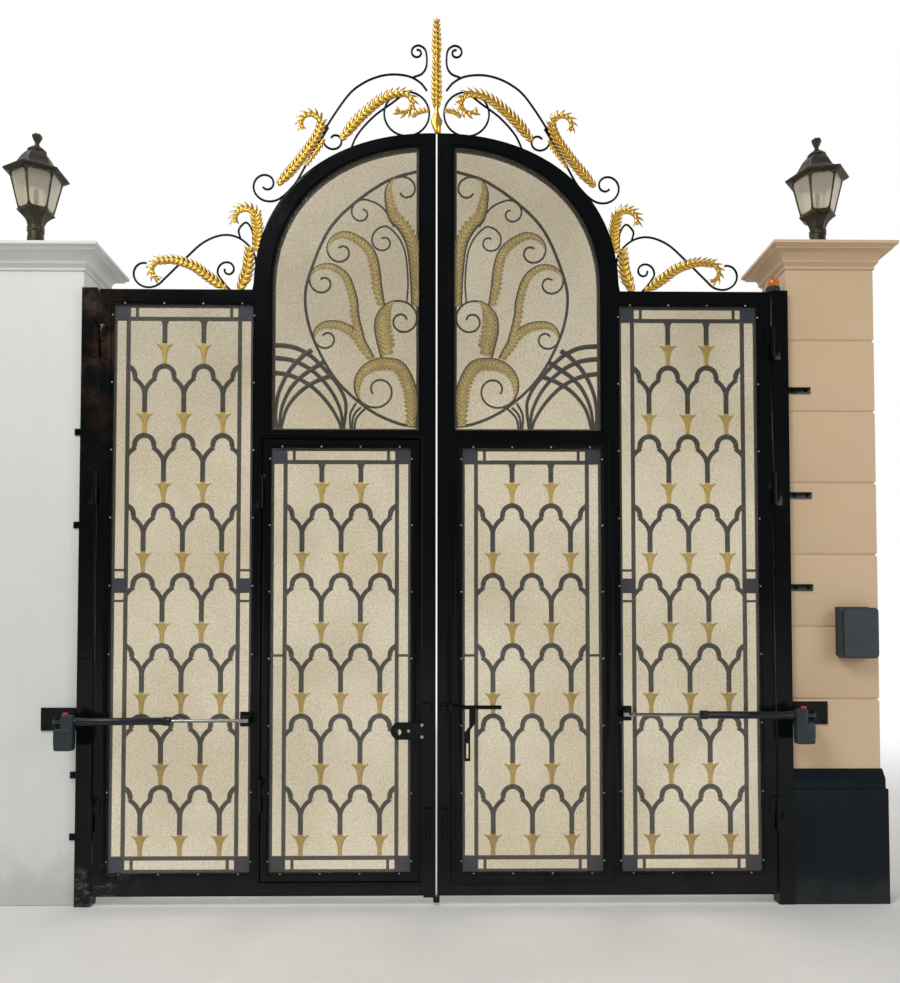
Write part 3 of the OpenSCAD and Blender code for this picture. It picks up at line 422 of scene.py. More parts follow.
class Graph:
    """Adds shader nodes to a tree and joins them."""

    def __init__(self, tree):
        self.tree = tree

    def put(self, node, key, value):
        """Gives a socket its value, or joins it to another node."""
        if isinstance(value, bpy.types.Node):
            value = value.outputs[0]
        if isinstance(value, bpy.types.NodeSocket):
            self.tree.links.new(value, node.inputs[key])
        else:
            node.inputs[key].default_value = value

    def add(self, kind, sockets=None, **settings):
        """A node of one kind, with its settings and its sockets."""
        node = self.tree.nodes.new("ShaderNode" + kind)
        for key, value in settings.items():
            setattr(node, key, value)
        for key, value in (sockets or {}).items():
            self.put(node, key, value)
        return node

    def place(self, group, **values):
        """A node group with its own values, Patch_size for the socket named Patch size."""
        sockets = {key.replace("_", " "): value for key, value in values.items()}
        return self.add("Group", sockets, node_tree=group)

    def at(self):
        """Object coordinates."""
        return self.add("TexCoord").outputs["Object"]

    def math(self, kind, first, *others):
        """One sum worked through several values in turn."""
        for other in others:
            first = self.add("Math", {0: first, 1: other}, operation=kind).outputs[0]
        return first

    def times(self, *values):
        """The product of several values."""
        return self.math("MULTIPLY", *values)

    def most(self, *values):
        """The largest of several values."""
        return self.math("MAXIMUM", *values)

    def span(self, value, low, high, to_low=0.0, to_high=1.0, kind="LINEAR"):
        """A value from low to high, carried to the range from to_low to to_high."""
        return self.add("MapRange", {"Value": value, "From Min": low, "From Max": high, "To Min": to_low,
                                     "To Max": to_high}, interpolation_type=kind).outputs[0]

    def soft(self, *values):
        """The same, easing in and out of both ends."""
        return self.span(*values, kind="SMOOTHSTEP")

    def mix(self, factor, a, b, blend="MIX"):
        """Colour a turning into colour b."""
        return self.add("Mix", {0: factor, 6: a, 7: b}, data_type="RGBA", blend_type=blend).outputs[2]

    def noise(self, vector, scale, detail=3.0, rough=0.55, stretch=None):
        """Soft noise of so many patches a metre."""
        if stretch is not None:
            vector = self.add("Mapping", {"Vector": vector, "Scale": stretch})
        return self.add("TexNoise", {"Vector": vector, "Scale": scale, "Detail": detail,
                                     "Roughness": rough}).outputs["Fac"]


def node_group(name, inputs, outputs, build):
    """A shader node group, built once. inputs maps a name to its kind and default, outputs to its kind."""
    tree = bpy.data.node_groups.get(name)
    if tree is not None:
        return tree
    tree = bpy.data.node_groups.new(name, "ShaderNodeTree")
    for label, (kind, default) in inputs.items():
        tree.interface.new_socket(label, in_out="INPUT", socket_type=kind).default_value = default
    for label, kind in outputs.items():
        tree.interface.new_socket(label, in_out="OUTPUT", socket_type=kind)
    g = Graph(tree)
    results = build(g, tree.nodes.new("NodeGroupInput").outputs)
    leave = tree.nodes.new("NodeGroupOutput")
    for label, socket in results.items():
        g.put(leave, label, socket)
    return tree


NUMBER, COLOUR = "NodeSocketFloat", "NodeSocketColor"


def weathering():
    """Paint that has stood outside: patches of a darker tone, grime that thins out with height, and
    faint runs down the face. Grime is noise plus 1 - z / height, cut off smoothly."""
    def build(g, given):
        at = g.at()
        z = g.add("SeparateXYZ", {0: at}).outputs[2]
        patches = g.times(g.soft(g.noise(at, given["Patch size"], 5.0, 0.6), 0.35, 0.7), given["Patchiness"])
        tone = g.mix(patches, given["Color"], given["Patch color"])
        near_ground = g.math("SUBTRACT", 1.0, g.math("DIVIDE", z, given["Grime height"]))
        grime = g.math("ADD", g.times(near_ground, 0.8), g.noise(at, 7.0, 7.0, 0.68))
        grime = g.times(g.soft(grime, 0.62, 1.25), given["Grime"])
        runs = g.noise(at, 1.0, 5.0, 0.6, stretch=(22.0, 22.0, 0.9))
        runs = g.times(g.soft(runs, 0.56, 0.8), given["Runs"])
        tone = g.mix(runs, tone, given["Grime color"])
        return {"Color": g.mix(grime, tone, given["Grime color"]), "Dirt": g.most(grime, runs)}

    return node_group("Weathering", {
        "Color": (COLOUR, (0.5, 0.5, 0.5, 1)), "Patch color": (COLOUR, (0.4, 0.4, 0.4, 1)),
        "Grime color": (COLOUR, (0.2, 0.18, 0.15, 1)), "Patchiness": (NUMBER, 0.5),
        "Patch size": (NUMBER, 2.0), "Grime": (NUMBER, 0.6), "Grime height": (NUMBER, 0.5),
        "Runs": (NUMBER, 0.2)}, {"Color": COLOUR, "Dirt": NUMBER}, build)


def relief():
    """Height of a surface in metres: a fine noise for its grain and a broad one for its waves."""
    def build(g, given):
        at = g.at()
        fine = g.times(g.noise(at, given["Grain scale"], 4.0, 0.6), given["Grain"])
        broad = g.times(g.noise(at, given["Wave scale"], 2.0, 0.5), given["Wave"])
        return {"Height": g.math("ADD", fine, broad)}

    return node_group("Relief", {
        "Grain scale": (NUMBER, 400.0), "Grain": (NUMBER, 0.0002), "Wave scale": (NUMBER, 12.0),
        "Wave": (NUMBER, 0.0005)}, {"Height": NUMBER}, build)


def rubbed_edges():
    """Where a surface turns a corner: one minus the dot of its normal with the normal rounded over a
    radius, broken up by noise."""
    def build(g, given):
        round_normal = g.add("Bevel", {"Radius": given["Radius"]}, samples=4)
        true_normal = g.add("NewGeometry").outputs["Normal"]
        dot = g.add("VectorMath", {0: round_normal, 1: true_normal}, operation="DOT_PRODUCT").outputs["Value"]
        edge = g.span(g.math("SUBTRACT", 1.0, dot), 0.01, 0.16)
        broken = g.soft(g.noise(g.at(), given["Break scale"], 5.0, 0.7), 0.42, 0.62)
        return {"Mask": g.times(edge, broken, given["Amount"])}

    return node_group("Rubbed edges", {
        "Radius": (NUMBER, 0.003), "Amount": (NUMBER, 0.7), "Break scale": (NUMBER, 45.0)},
        {"Mask": NUMBER}, build)


def rgb(colour, factor=1.0):
    """A colour for a socket, lighter or darker by a factor."""
    return tuple(min(1.0, c * factor) for c in tuple(colour)[:3]) + (1.0,)


class Finish(Graph):
    """A new material with its shader and output joined, ready for its own nodes."""

    def __init__(self, name):
        self.material = bpy.data.materials.new(name)
        self.material.use_nodes = True
        super().__init__(self.material.node_tree)
        self.tree.nodes.clear()
        self.shader = self.add("BsdfPrincipled")
        self.output = self.add("OutputMaterial", {"Surface": self.shader})

    def wear(self, **values):
        """Gives the shader its values and what varies over the surface."""
        for key, value in values.items():
            self.put(self.shader, key.replace("_", " "), value)

    def bump(self, height):
        """Relief in the shading, from a height in metres."""
        self.wear(Normal=self.add("Bump", {"Strength": 1.0, "Distance": 1.0, "Height": height}))

    def grained(self, grain_scale, grain, wave_scale, wave):
        """Relief from a fine grain over broad waves."""
        self.bump(self.place(relief(), Grain_scale=grain_scale, Grain=grain, Wave_scale=wave_scale,
                             Wave=wave))

    def weathered(self, colour, patch, grime, patches, low_grime, runs):
        """Tone and dirt of weathered paint: its colours, amount and size of the patches, amount and
        height of the grime, amount of the runs."""
        w = self.place(weathering(), Color=rgb(colour), Patch_color=rgb(patch), Grime_color=rgb(grime),
                       Patchiness=patches[0], Patch_size=patches[1], Grime=low_grime[0],
                       Grime_height=low_grime[1], Runs=runs)
        return w.outputs["Color"], w.outputs["Dirt"]


# Finishes

def painted_render(m, colour, fade, low_grime):
    """Smooth painted plaster: trowel waves, a fine grain, weathered towards the ground."""
    patch = [c * f for c, f in zip(colour, fade)]
    tone, dirt = m.weathered(colour, patch, (0.33, 0.29, 0.24), (0.55, 1.6), low_grime, 0.16)
    m.wear(Base_Color=tone, Roughness=m.span(dirt, 0, 1, 0.62, 0.85))
    m.grained(230.0, 0.0004, 5.0, 0.0015)


def plinth_paint(m, colour):
    """Dark gloss paint over plaster, dusty at the foot."""
    tone, dirt = m.weathered(colour, rgb(colour, 2.2), (0.05, 0.05, 0.045), (0.6, 3.0), (0.4, 0.25), 0.12)
    m.wear(Specular_IOR_Level=0.16, Base_Color=tone, Roughness=m.span(dirt, 0, 1, 0.3, 0.75))
    m.grained(160.0, 0.0005, 9.0, 0.003)


def gloss_steel(m, colour, roughness, shine=0.16, rust=0.0):
    """Brushed gloss paint on steel: slight waves from the brush and a little dust low down. With rust the
    paint has brown specks, a brown bloom high on the left and a pale scuff at the left foot."""
    at = m.at()
    tone, dirt = m.weathered(colour, rgb(colour, 1.7), (0.035, 0.032, 0.028), (0.5, 4.0), (0.3, 0.3), 0.02)
    sheen = m.span(m.noise(at, 3.5, 4.0), 0.3, 0.7, roughness * 0.8, roughness * 1.35)
    rough = m.most(sheen, m.times(dirt, 0.7))
    if rust:
        where = m.add("SeparateXYZ", {0: at}).outputs
        left = m.soft(where[0], 0.42, 0.75, 1.0, 0.0)
        bloom = m.times(left, m.soft(where[2], 2.0, 3.1), m.soft(m.noise(at, 5.0, 6.0, 0.7), 0.40, 0.65))
        scuff = m.times(left, m.soft(where[2], 0.10, 0.26, 1.0, 0.0),
                        m.soft(m.noise(at, 9.0, 7.0, 0.7, (1.0, 1.0, 2.2)), 0.50, 0.66))
        specks = m.times(m.soft(m.noise(at, 26.0, 8.0, 0.75), 0.665, 0.72), rust)
        stains = ((bloom, (0.030, 0.013, 0.005)), (scuff, (0.10, 0.115, 0.12)), (specks, (0.12, 0.04, 0.015)))
        for mask, stain in stains:
            tone = m.mix(mask, tone, rgb(stain))
        rough = m.most(rough, m.times(m.most(specks, scuff, m.times(bloom, 0.6)), 0.8))
    m.wear(Specular_IOR_Level=shine, Base_Color=tone, Roughness=rough)
    m.grained(320.0, 0.00006, 26.0, 0.0007)


def gilding(m, colour, dark, dull, dig=1.0):
    """Gold paint brushed over castings, thin and brown in patches, with brown painted shade in the hollows
    and a painted highlight where the relief stands out."""
    rise = m.add("Attribute", attribute_name="rise").outputs["Fac"]
    patch = m.soft(m.noise(m.at(), 34.0, 5.0, 0.65), 0.40, 0.75)
    # Painted shade: where rise is low the gold turns to the darker colour, as it also does in random thin
    # patches
    thin_and_shaded = m.most(m.times(patch, 0.6), m.soft(rise, 0.05, 0.75, dig, 0.0))
    tone = m.mix(thin_and_shaded, rgb(colour), rgb(dark))
    # Painted highlight: where rise nears 1 the gold turns lighter
    m.wear(Base_Color=m.mix(m.span(rise, 0.8, 1.0, 0.0, 0.5), tone, rgb(colour, 1.3)),
           Metallic=m.span(thin_and_shaded, 0, 1, 0.85 * (1 - dull), 0.4 * (1 - dull)),
           Roughness=m.span(thin_and_shaded, 0, 1, 0.28 + 0.2 * dull, 0.5 + 0.2 * dull))
    m.grained(420.0, 0.0003, 90.0, 0.0008)


def pebbled_glass(m, tint):
    """Rounded cells a few millimetres across over a slow ripple. The glass scatters a little light, its
    cream tint drifts in broad patches, each cell has a painted highlight in its middle and painted shade at
    its rim, painted shade darkens it towards the top, and lamps reach what stands behind it."""
    s = bpy.context.scene.gate_sizes
    at = m.at()
    where = m.add("SeparateXYZ", {0: at}).outputs
    flat = m.add("CombineXYZ", {0: where[0], 1: where[2]})
    cells = m.add("TexVoronoi", {"Vector": flat, "Scale": 1 / s.pebble_size, "Smoothness": 0.7},
                  voronoi_dimensions="2D", feature="SMOOTH_F1").outputs["Distance"]
    grain = m.span(m.noise(at, 0.7 / s.pebble_size, 2.0, 0.7), 0.32, 0.68, 0.85, 1.14)
    # grey: random grain, times a painted highlight in each cell's middle with painted shade at its rim, times
    # painted shade from 2.3 m up to 3.4 m
    grey = m.times(grain, m.span(cells, 0.0, 0.9, 1.06, 0.92), m.soft(where[2], 2.3, 3.4, 1.0, 0.80))
    drift = m.soft(m.noise(at, 1.7, 3.0, 0.5), 0.35, 0.65)
    tone = m.mix(drift, rgb(tint, 0.93), rgb(x ** 0.85 for x in tint))
    tone = m.mix(1.0, tone, m.add("CombineColor", {0: grey, 1: grey, 2: grey}), "MULTIPLY")
    m.wear(Roughness=0.16, IOR=1.45, Transmission_Weight=0.95, Base_Color=tone)
    ripple = m.times(m.noise(at, 55.0, 3.0), s.pebble_depth * 1.2)
    m.bump(m.math("ADD", m.times(cells, s.pebble_depth * 0.7), ripple))
    clear = m.add("BsdfTransparent", {"Color": (0.97, 0.96, 0.94, 1)})
    shadow = m.add("LightPath").outputs["Is Shadow Ray"]
    m.put(m.output, "Surface", m.add("MixShader", {0: shadow, 1: m.shader, 2: clear}))


def cast_iron_paint(m, colour):
    """Dark paint on castings: brown patches, pale runs, bare bronze along the rubbed edges."""
    brown, pale = (0.075, 0.046, 0.018), (0.10, 0.12, 0.10)
    tone = m.weathered(colour, brown, pale, (0.5, 14.0), (0.0, 1.0), 0.35)[0]
    edges = m.place(rubbed_edges(), Radius=0.005, Amount=0.9, Break_scale=40.0)
    m.wear(Base_Color=m.mix(edges, tone, rgb((0.50, 0.34, 0.14))), Metallic=m.span(edges, 0, 1, 0.45, 0.8),
           Roughness=m.span(m.noise(m.at(), 30.0, 5.0), 0.3, 0.7, 0.34, 0.6))
    m.grained(300.0, 0.0005, 60.0, 0.0009)


def frosted_glass(m, tint):
    """Clear glass with a fine frost in its surface."""
    m.wear(Base_Color=rgb(tint), Roughness=0.2, IOR=1.45, Transmission_Weight=0.75)
    m.bump(m.times(m.noise(m.at(), 180.0, 4.0), 0.0007))


def lens_plastic(m, colour):
    """Glowing plastic, its tone and its surface from one noise."""
    patch = m.noise(m.at(), 40.0, 4.0)
    m.wear(Roughness=0.16, IOR=1.49, Transmission_Weight=0.35, Coat_Weight=0.3,
           Base_Color=m.mix(patch, rgb(colour), rgb(colour, 0.6)))
    m.bump(m.times(patch, 0.0005))


def moulded(m, colour, roughness, metallic=0.0):
    """A moulded or cast housing: an even fine grain, slightly dusty, paler along its edges."""
    edges = m.place(rubbed_edges(), Radius=0.004, Amount=0.35, Break_scale=24.0)
    dust = m.times(m.soft(m.noise(m.at(), 12.0, 6.0), 0.4, 0.75), 0.35)
    tone = m.mix(dust, rgb(colour), rgb(colour, 2.0))
    m.wear(Metallic=metallic, Base_Color=m.mix(edges, tone, rgb(colour, 3.2)),
           Roughness=m.span(dust, 0, 1, roughness, min(1.0, roughness * 1.8)))
    m.grained(900.0, 0.00016, 20.0, 0.0004)


def polished_steel(m, colour):
    """Bright steel: fine rings of polishing, thin films of grease."""
    at = m.at()
    film = m.noise(at, 1.0, 5.0, stretch=(9.0, 60.0, 60.0))
    rings = m.noise(at, 1.0, 2.0, stretch=(900.0, 20.0, 20.0))
    m.wear(Metallic=1.0, Base_Color=m.mix(film, rgb(colour), rgb(colour, 0.55)),
           Roughness=m.span(film, 0.3, 0.7, 0.1, 0.32))
    m.bump(m.times(rings, 0.00004))


def plating(m, colour):
    """Zinc on screws and bolts, with dull spots."""
    spots = m.noise(m.at(), 260.0, 5.0)
    m.wear(Metallic=1.0, Base_Color=m.mix(spots, rgb(colour), rgb((0.42, 0.40, 0.36))),
           Roughness=m.span(spots, 0.3, 0.7, 0.25, 0.5))


# How each finish is made, which colour it has and what sets it apart
FINISHES = {
    "white_render": (painted_render, "white_render", {"fade": (0.93, 0.93, 0.93), "low_grime": (0.4, 0.4)}),
    "cream_render": (painted_render, "cream_render", {"fade": (0.94, 0.91, 0.87), "low_grime": (0.45, 0.9)}),
    "dark_plinth": (plinth_paint, "plinth", {}),
    "black_steel": (gloss_steel, "steel", {"roughness": 0.17, "rust": 0.5}),
    "grille_steel": (gloss_steel, "grille", {"roughness": 0.42, "shine": 0.4}),
    # The darker colour of each gold finish is painted shade in its hollows and the tone of its thin patches
    "gold_paint": (gilding, "gold", {"dark": (0.20, 0.085, 0.008), "dull": 0.0}),
    "aged_gold": (gilding, "aged_gold", {"dark": (0.40, 0.29, 0.11), "dull": 0.65, "dig": 0.5}),
    "faded_gold": (gilding, "faded_gold", {"dark": (0.34, 0.30, 0.16), "dull": 0.85}),
    "textured_glass": (pebbled_glass, "glass", {}),
    "lantern_bronze": (cast_iron_paint, "lantern", {}),
    "frosted_pane": (frosted_glass, "pane", {}),
    "beacon_lens": (lens_plastic, "beacon", {}),
    "ram_grey": (moulded, "housing", {"roughness": 0.42, "metallic": 0.3}),
    "ram_barrel": (moulded, "barrel", {"roughness": 0.3, "metallic": 0.3}),
    "bright_rod": (polished_steel, "rod", {}),
    "box_plastic": (moulded, "plastic", {"roughness": 0.45}),
    "red_cap": (moulded, "cap", {"roughness": 0.4}),
    "black_rubber": (moulded, "rubber", {"roughness": 0.6}),
    "plated_steel": (plating, "zinc", {}),
}
made = {}


def finish(name):
    """The material of that name, made the first time it is asked for."""
    if name not in made:
        maker, colour, values = FINISHES[name]
        m = Finish(name)
        maker(m, getattr(bpy.context.scene.gate_colours, colour), **values)
        made[name] = m.material
    return made[name]


# Masonry

def cornice_profile():
    """Height and overhang of the cornice: a plain band, two fillets, a quarter-round cove, two more
    fillets and the crown, each step softened a little."""
    h, o = CORNICE_H, CORNICE_OUT
    a = np.linspace(0, math.pi / 2, 16)
    cove = to_points((0.32 + 0.38 * np.sin(a)) * h, 0.022 + (0.74 * o - 0.022) * (1 - np.cos(a)))
    bands = [(0.0, 0.004), (0.0015, 0.006)]
    for share, back, out in ((0.18, 0.006, 0.014), (0.25, 0.014, 0.022)):
        bands += [(share * h - 0.0012, back), (share * h, back + 0.001), (share * h + 0.0006, out - 0.001),
                  (share * h + 0.0018, out)]
    crown = []
    for share, out in ((0.70, 0.80 * o), (0.78, 0.88 * o), (0.85, o)):
        crown += [(share * h + 0.0002, out - 0.0018), (share * h + 0.0016, out)]
        crown.append(((share + 0.07) * h - 0.0012, out))
    crown = crown[:-1] + [(h - 0.003, o), (h - 0.0008, o - 0.001), (h, o - 0.004)]
    return np.vstack([bands, cove, crown])


def cornice(side):
    """A rectangle round the pier carried up the cornice's profile, each side moved out by it."""
    h, out = cornice_profile().T[..., None]
    x = PIER_X[side] + (PIER_W[side] / 2 + out) * [-1, 1, 1, -1]
    y = (PIER_D / 2 + out) * [-1, -1, 1, 1]
    return shells(to_points(x, y, PIER_H[side] + h))


# Wicket door's stop

def door_stop():
    """Flat bars behind the gap round the wicket door, over the door's edge and over the leaf's frame."""
    u0, u1, z0, z1 = WICKET_GAP
    left, right, foot, head = u0 - STOP_SEAT, u1 + STOP_SEAT, z0 - STOP_SEAT, z1 + STOP_SEAT
    near = FRONT_Y + LEAF_T + STOP_CLEAR
    bars = ((left, foot, u0 + STOP_LAP, head), (u1 - STOP_LAP, foot, right, head),
            (u0 + STOP_LAP, foot, u1 - STOP_LAP, z0 + STOP_LAP),
            (u0 + STOP_LAP, z1 - STOP_LAP, u1 - STOP_LAP, head))
    return [slab(*corners, near, near + STOP_T, LEFT) for corners in bars]


# Grilles

def arc(centre, radius, start, end, count):
    """Points on a circle between two angles in degrees."""
    return polar(centre, radius, np.radians(np.linspace(start, end, count)))


def cut_to(path, half):
    """The part of a path with u from -half to half, cut exactly there."""
    keep = np.flatnonzero(np.abs(path[:, 0]) <= half)
    if len(keep) == 0:
        return None

    def crossing(outer, inner):
        """Where the path crosses the edge between two of its points."""
        p, q = path[outer], path[inner]
        return (q + (p - q) * (math.copysign(half, p[0]) - q[0]) / (p[0] - q[0]))[None]

    a, b = keep[0], keep[-1]
    before = crossing(a - 1, a) if a > 0 else path[:0]
    after = crossing(b + 1, b) if b < len(path) - 1 else path[:0]
    line = np.vstack([before, path[a:b + 1], after])
    return line if along(line)[-1] > 0.004 else None


def tops(row, reach):
    """Where the arches of a row stand: half a pitch apart from the next row's."""
    shift = 0.5 if row % 2 == 0 else 0.0
    u = (np.arange(-4, 5) + shift) * PITCH
    return u[np.abs(u) < reach]


def row_count(top):
    """How many rows of arches fit under a pane's head, with a capital over the last."""
    return int((top - CORNER_W - (GLASS_Z + CORNER_W + ROW_H) - CAP_H) // ROW_H) + 1


def grille(side, centre, top):
    """Flat bars behind the glass: a rim, a border with corner squares, and rows of ogee arches on stems."""
    half, inner = GLASS_W / 2, GLASS_W / 2 - CORNER_W
    z0, z1, first = GLASS_Z + CORNER_W, top - CORNER_W, GLASS_Z + CORNER_W + ROW_H
    foot, head, rim, square = GLASS_Z + SEAM, top - SEAM, half - SEAM, inner + 0.0006
    near, far, rows, w = GRILLE_Y, GRILLE_Y + GRILLE_T, row_count(top), ARCH_BAR_W / 2
    shapes = []

    def flat(u0, u1, low, high, step, edge=0.0018):
        """A flat bar, drawn in by step from both faces of the grille."""
        shapes.append(slab(centre + u0, low, centre + u1, high, near + step, far - step, side, edge))

    def pair(u0, u1, *rest):
        """The same bar on both sides of the pane."""
        flat(-u1, -u0, *rest)
        flat(u0, u1, *rest)

    def curve(path, width, step):
        """A bar along a path, as far as the border."""
        path = cut_to(path, inner + BAR_W / 2)
        if path is not None:
            shapes.append(bar(path + [centre, 0], width, near + step, far - step, side, 0.0022))

    pair(half - RIM_W, rim, foot, head, 0.0004)
    pair(inner, inner + BAR_W, z0 - 0.002, z1 + 0.002, 0.0001)
    for low, high in ((foot, z0), (z1, head)):
        mid = (low + high) / 2
        pair(square, rim, low, high, -0.0004, 0.003)
        pair(inner + 0.022, half - 0.022, mid - 0.021, mid + 0.021, -0.0006, 0.0042)
    for low, high in ((foot, z0 - 0.001), (z1 + 0.001, head)):
        pair(inner - 2 * BAR_W, inner - 1.25 * BAR_W, low, high, 0.0009)
    if top > TRANSOM_TOP:
        pair(square, rim, *MID_SQUARE, -0.0003, 0.003)
    for low, high in MID_RAILS[top > TRANSOM_TOP]:
        pair(square, rim, low, high, 0.0007)
    for low in (foot, head - RIM_W):
        flat(-rim, rim, low, low + RIM_W, 0.0006)
    for low in (z0 - BAR_W, z1):
        flat(-inner - 0.001, inner + 0.001, low, low + BAR_W, 0.0003)
    c = (PITCH / 2 - BRANCH_R, -CUSP_Z)
    mid_r = ARCH_BAR_R - w
    start = math.degrees(math.acos((mid_r - c[0]) / BRANCH_R))
    for row in range(rows):
        z = first + row * ROW_H
        for u in tops(row, inner + PITCH):
            for s, lift in ((-1, 0.0006), (1, 0.0004)):
                curve(arc((0, -ARCH_BAR_R), mid_r, 92, -12, 16) * [s, 1] + [u, z], ARCH_BAR_W, lift)
                curve(arc(c, BRANCH_R, start + 4, 0, 16) * [s, 1] + [u, z], BRANCH_W, lift + 0.0004)
            stem = u + PITCH / 2
            if abs(stem) < inner + 0.001:
                flat(stem - w, stem + w, max(z - ROW_H + CAP_H, z0 - 0.001), z - CUSP_Z + 0.010, 0.0012)
    for u in tops(rows - 1, inner - CAP_W / 2):
        flat(u - w, u + w, first + (rows - 1) * ROW_H + CAP_H, z1 + 0.001, 0.0012)
        flare = np.array([[centre + u, z1 + 0.001], [centre + u, z1 - 0.022]])
        shapes.append(bar(flare, 2 * BAR_W, near + 0.0008, far - 0.0008, side, end=ARCH_BAR_W))
    return shapes


# Height share and radius in mm of a capital, from its foot to the lip and down inside the mouth
CAPITAL = np.array([
    (0.0, 12.8), (0.04, 13.3), (0.09, 12.6), (0.25, 11.6), (0.42, 13.6), (0.55, 16.5), (0.66, 20.0),
    (0.76, 25.5), (0.84, 32.0), (0.89, 38.5), (0.93, 43.5), (0.965, 45.0), (0.99, 42.0), (0.985, 35.5),
    (0.95, 26.0), (0.90, 14.0), (0.88, 4.0)])
CAPITAL_LIP = 12


def capitals(side, centre, top):
    """Trumpets with four curled petals: the radius follows the profile, and towards the lip it swells
    by cos(4 a) while the rim between the petals drops."""
    share, radius = CAPITAL[:, :1], CAPITAL[:, 1:] / 1000
    order = np.arange(len(CAPITAL))[:, None] / CAPITAL_LIP
    a = angles(40)
    petal = np.clip((order - 0.55) / 0.45, 0, 1) ** 1.5
    inner = np.clip((order - 1) / 0.33, 0, 1)
    r = radius * (1 + 0.11 * petal * np.cos(4 * a) * (1 - inner))
    ribs = 1 + 0.05 * np.clip(share * 3, 0, 1) * np.cos(8 * a)
    u = np.clip(r * ribs * np.cos(a), -CAP_W / 2, CAP_W / 2)
    y = GRILLE_Y + 0.007 + np.minimum(r * 0.52, 0.0069) * np.sin(a)
    z = (CAP_H - 0.0006) * (share - 0.085 * petal * (1 - np.cos(4 * a)) / 2)
    spots = [(GATE_X + side * (centre + x), 0, GLASS_Z + CORNER_W + ROW_H * (1 + row) + 0.0003)
             for row in range(-1, row_count(top)) for x in tops(row, (GLASS_W - CAP_W) / 2 - CORNER_W)]
    return repeated(to_points(side * u, y, z), spots)


def screw_heads(side, centre, top):
    """Small domes on the step round a pane, turned from a profile of height and radius given as shares
    of the head's radius."""
    s = bpy.context.scene.gate_sizes.screw_radius
    dome = turned(s * np.array([(0.0, 1), (0.25, 1), (0.5, 0.8), (0.65, 0.4), (0.68, 0.05)]), (0, 0, 0),
                  axis=(0, -1, 0), sides=10)
    off, margin = 0.0065, 0.06
    half = GLASS_W / 2 + off
    rows = np.linspace(GLASS_Z + margin, top - margin, int((top - GLASS_Z) / 0.37) + 1)
    columns = np.linspace(margin - GLASS_W / 2, GLASS_W / 2 - margin, 4)
    places = [(way * half, z) for z in rows for way in (-1, 1)]
    places += [(u, z) for u in columns for z in (GLASS_Z - off, top + off)]
    return repeated(dome, [(GATE_X + side * (centre + u), FRONT_Y + 0.006, z) for u, z in places])


# Arched window, its points given outwards and upwards in mm

HOOP = [[90, 4028], [270, 3970], [455, 3842], [595, 3692], [690, 3475], [725, 3305], [685, 3100], [560, 2865],
        [385, 2700], [220, 2617], [90, 2594]]

# Each plume's scroll: body, centre, way, turns, inner radius; the plume's width and its share of the scroll
PLUMES = [
    (([[115, 2594], [104, 2710], [112, 2800], [144, 2890], [190, 2952], [262, 2974]],
      [320, 2800], -1, 1.4, 36), 76, 0.66),
    (([[305, 2982], [330, 3080], [340, 3155]], [192, 3185], 1, 1.5, 27), 96, 0.42),
    (([[345, 2978], [395, 3070], [450, 3135], [515, 3172], [580, 3180]], [605, 3085], -1, 1.2, 25), 54, 0.66),
    (([[395, 3070], [430, 3210], [440, 3305], [480, 3425], [540, 3483], [600, 3500]],
      [625, 3395], -1, 1.15, 24), 46, 0.72),
    (([[289, 3270], [305, 3380], [315, 3470], [335, 3552], [372, 3611], [430, 3654], [500, 3680]],
      [525, 3570], -1, 1.15, 25), 56, 0.72),
    (([[135, 3262], [145, 3455], [165, 3605], [210, 3695], [265, 3760], [285, 3895]],
      [175, 3915], 1, 0.95, 30), 74, 0.74),
]
TENDRILS = [
    ([[165, 3284], [158, 3400], [170, 3545], [195, 3624], [236, 3682], [284, 3714]],
     [292, 3625], -1, 1.1, 22),
    ([[238, 3712], [262, 3770], [305, 3822], [350, 3849], [405, 3864]], [413, 3785], -1, 1.0, 22),
]
# Each strap's widths at both ends and its points
FANS = [
    (27, 16, [[907, 3047], [793, 3036], [700, 2992], [623, 2920], [546, 2830], [505, 2750], [498, 2687],
              [512, 2565]]),
    (27, 16, [[907, 2977], [792, 2961], [699, 2915], [623, 2849], [562, 2764], [524, 2671], [515, 2565]]),
    (27, 16, [[907, 2893], [819, 2882], [737, 2849], [660, 2794], [589, 2714], [540, 2632], [519, 2565]]),
    (16, 27, [[872, 2565], [883, 2665], [867, 2780], [814, 2896], [738, 2984], [685, 3020]]),
    (16, 27, [[866, 2565], [851, 2692], [810, 2794], [753, 2863], [694, 2907], [620, 2955]]),
    (16, 27, [[858, 2565], [823, 2692], [758, 2780], [682, 2835], [617, 2864], [576, 2876]]),
    (12, 12, [[470, 2565], [476, 2631], [471, 2674], [442, 2727]]),
    (12, 12, [[464, 2565], [460, 2636], [444, 2674], [415, 2703]]),
    (12, 12, [[452, 2565], [444, 2631], [420, 2668], [389, 2698]]),
]


def arch_edge(half, rise):
    """The arch's curve from the springing to the crown: |u / half|^p + |h / rise|^p = 1."""
    t = np.linspace(0, math.pi / 2, 96)
    power = 2 / ARCH_POWER
    return to_points(half * np.cos(t) ** power, SIDE_TOP_Z + rise * np.sin(t) ** power)


def arch_height(share):
    """Height of the same curve over the springing, as a share, where it is a share of its half-width out."""
    return np.clip(1 - np.abs(share) ** ARCH_POWER, 0, 1) ** (1 / ARCH_POWER)


def inside_hoop(path, hoop):
    """True where a point lies inside the hoop: a level ray from it crosses the hoop an odd number of
    times."""
    u, z = path[:, :1], path[:, 1:]
    a, b = hoop, np.roll(hoop, -1, axis=0)
    spans = (a[:, 1] > z) != (b[:, 1] > z)
    rise = np.where(b[:, 1] == a[:, 1], 1e-9, b[:, 1] - a[:, 1])
    cross = a[:, 0] + (z - a[:, 1]) * (b[:, 0] - a[:, 0]) / rise
    return (spans & (cross > u)).sum(axis=1) % 2 == 1


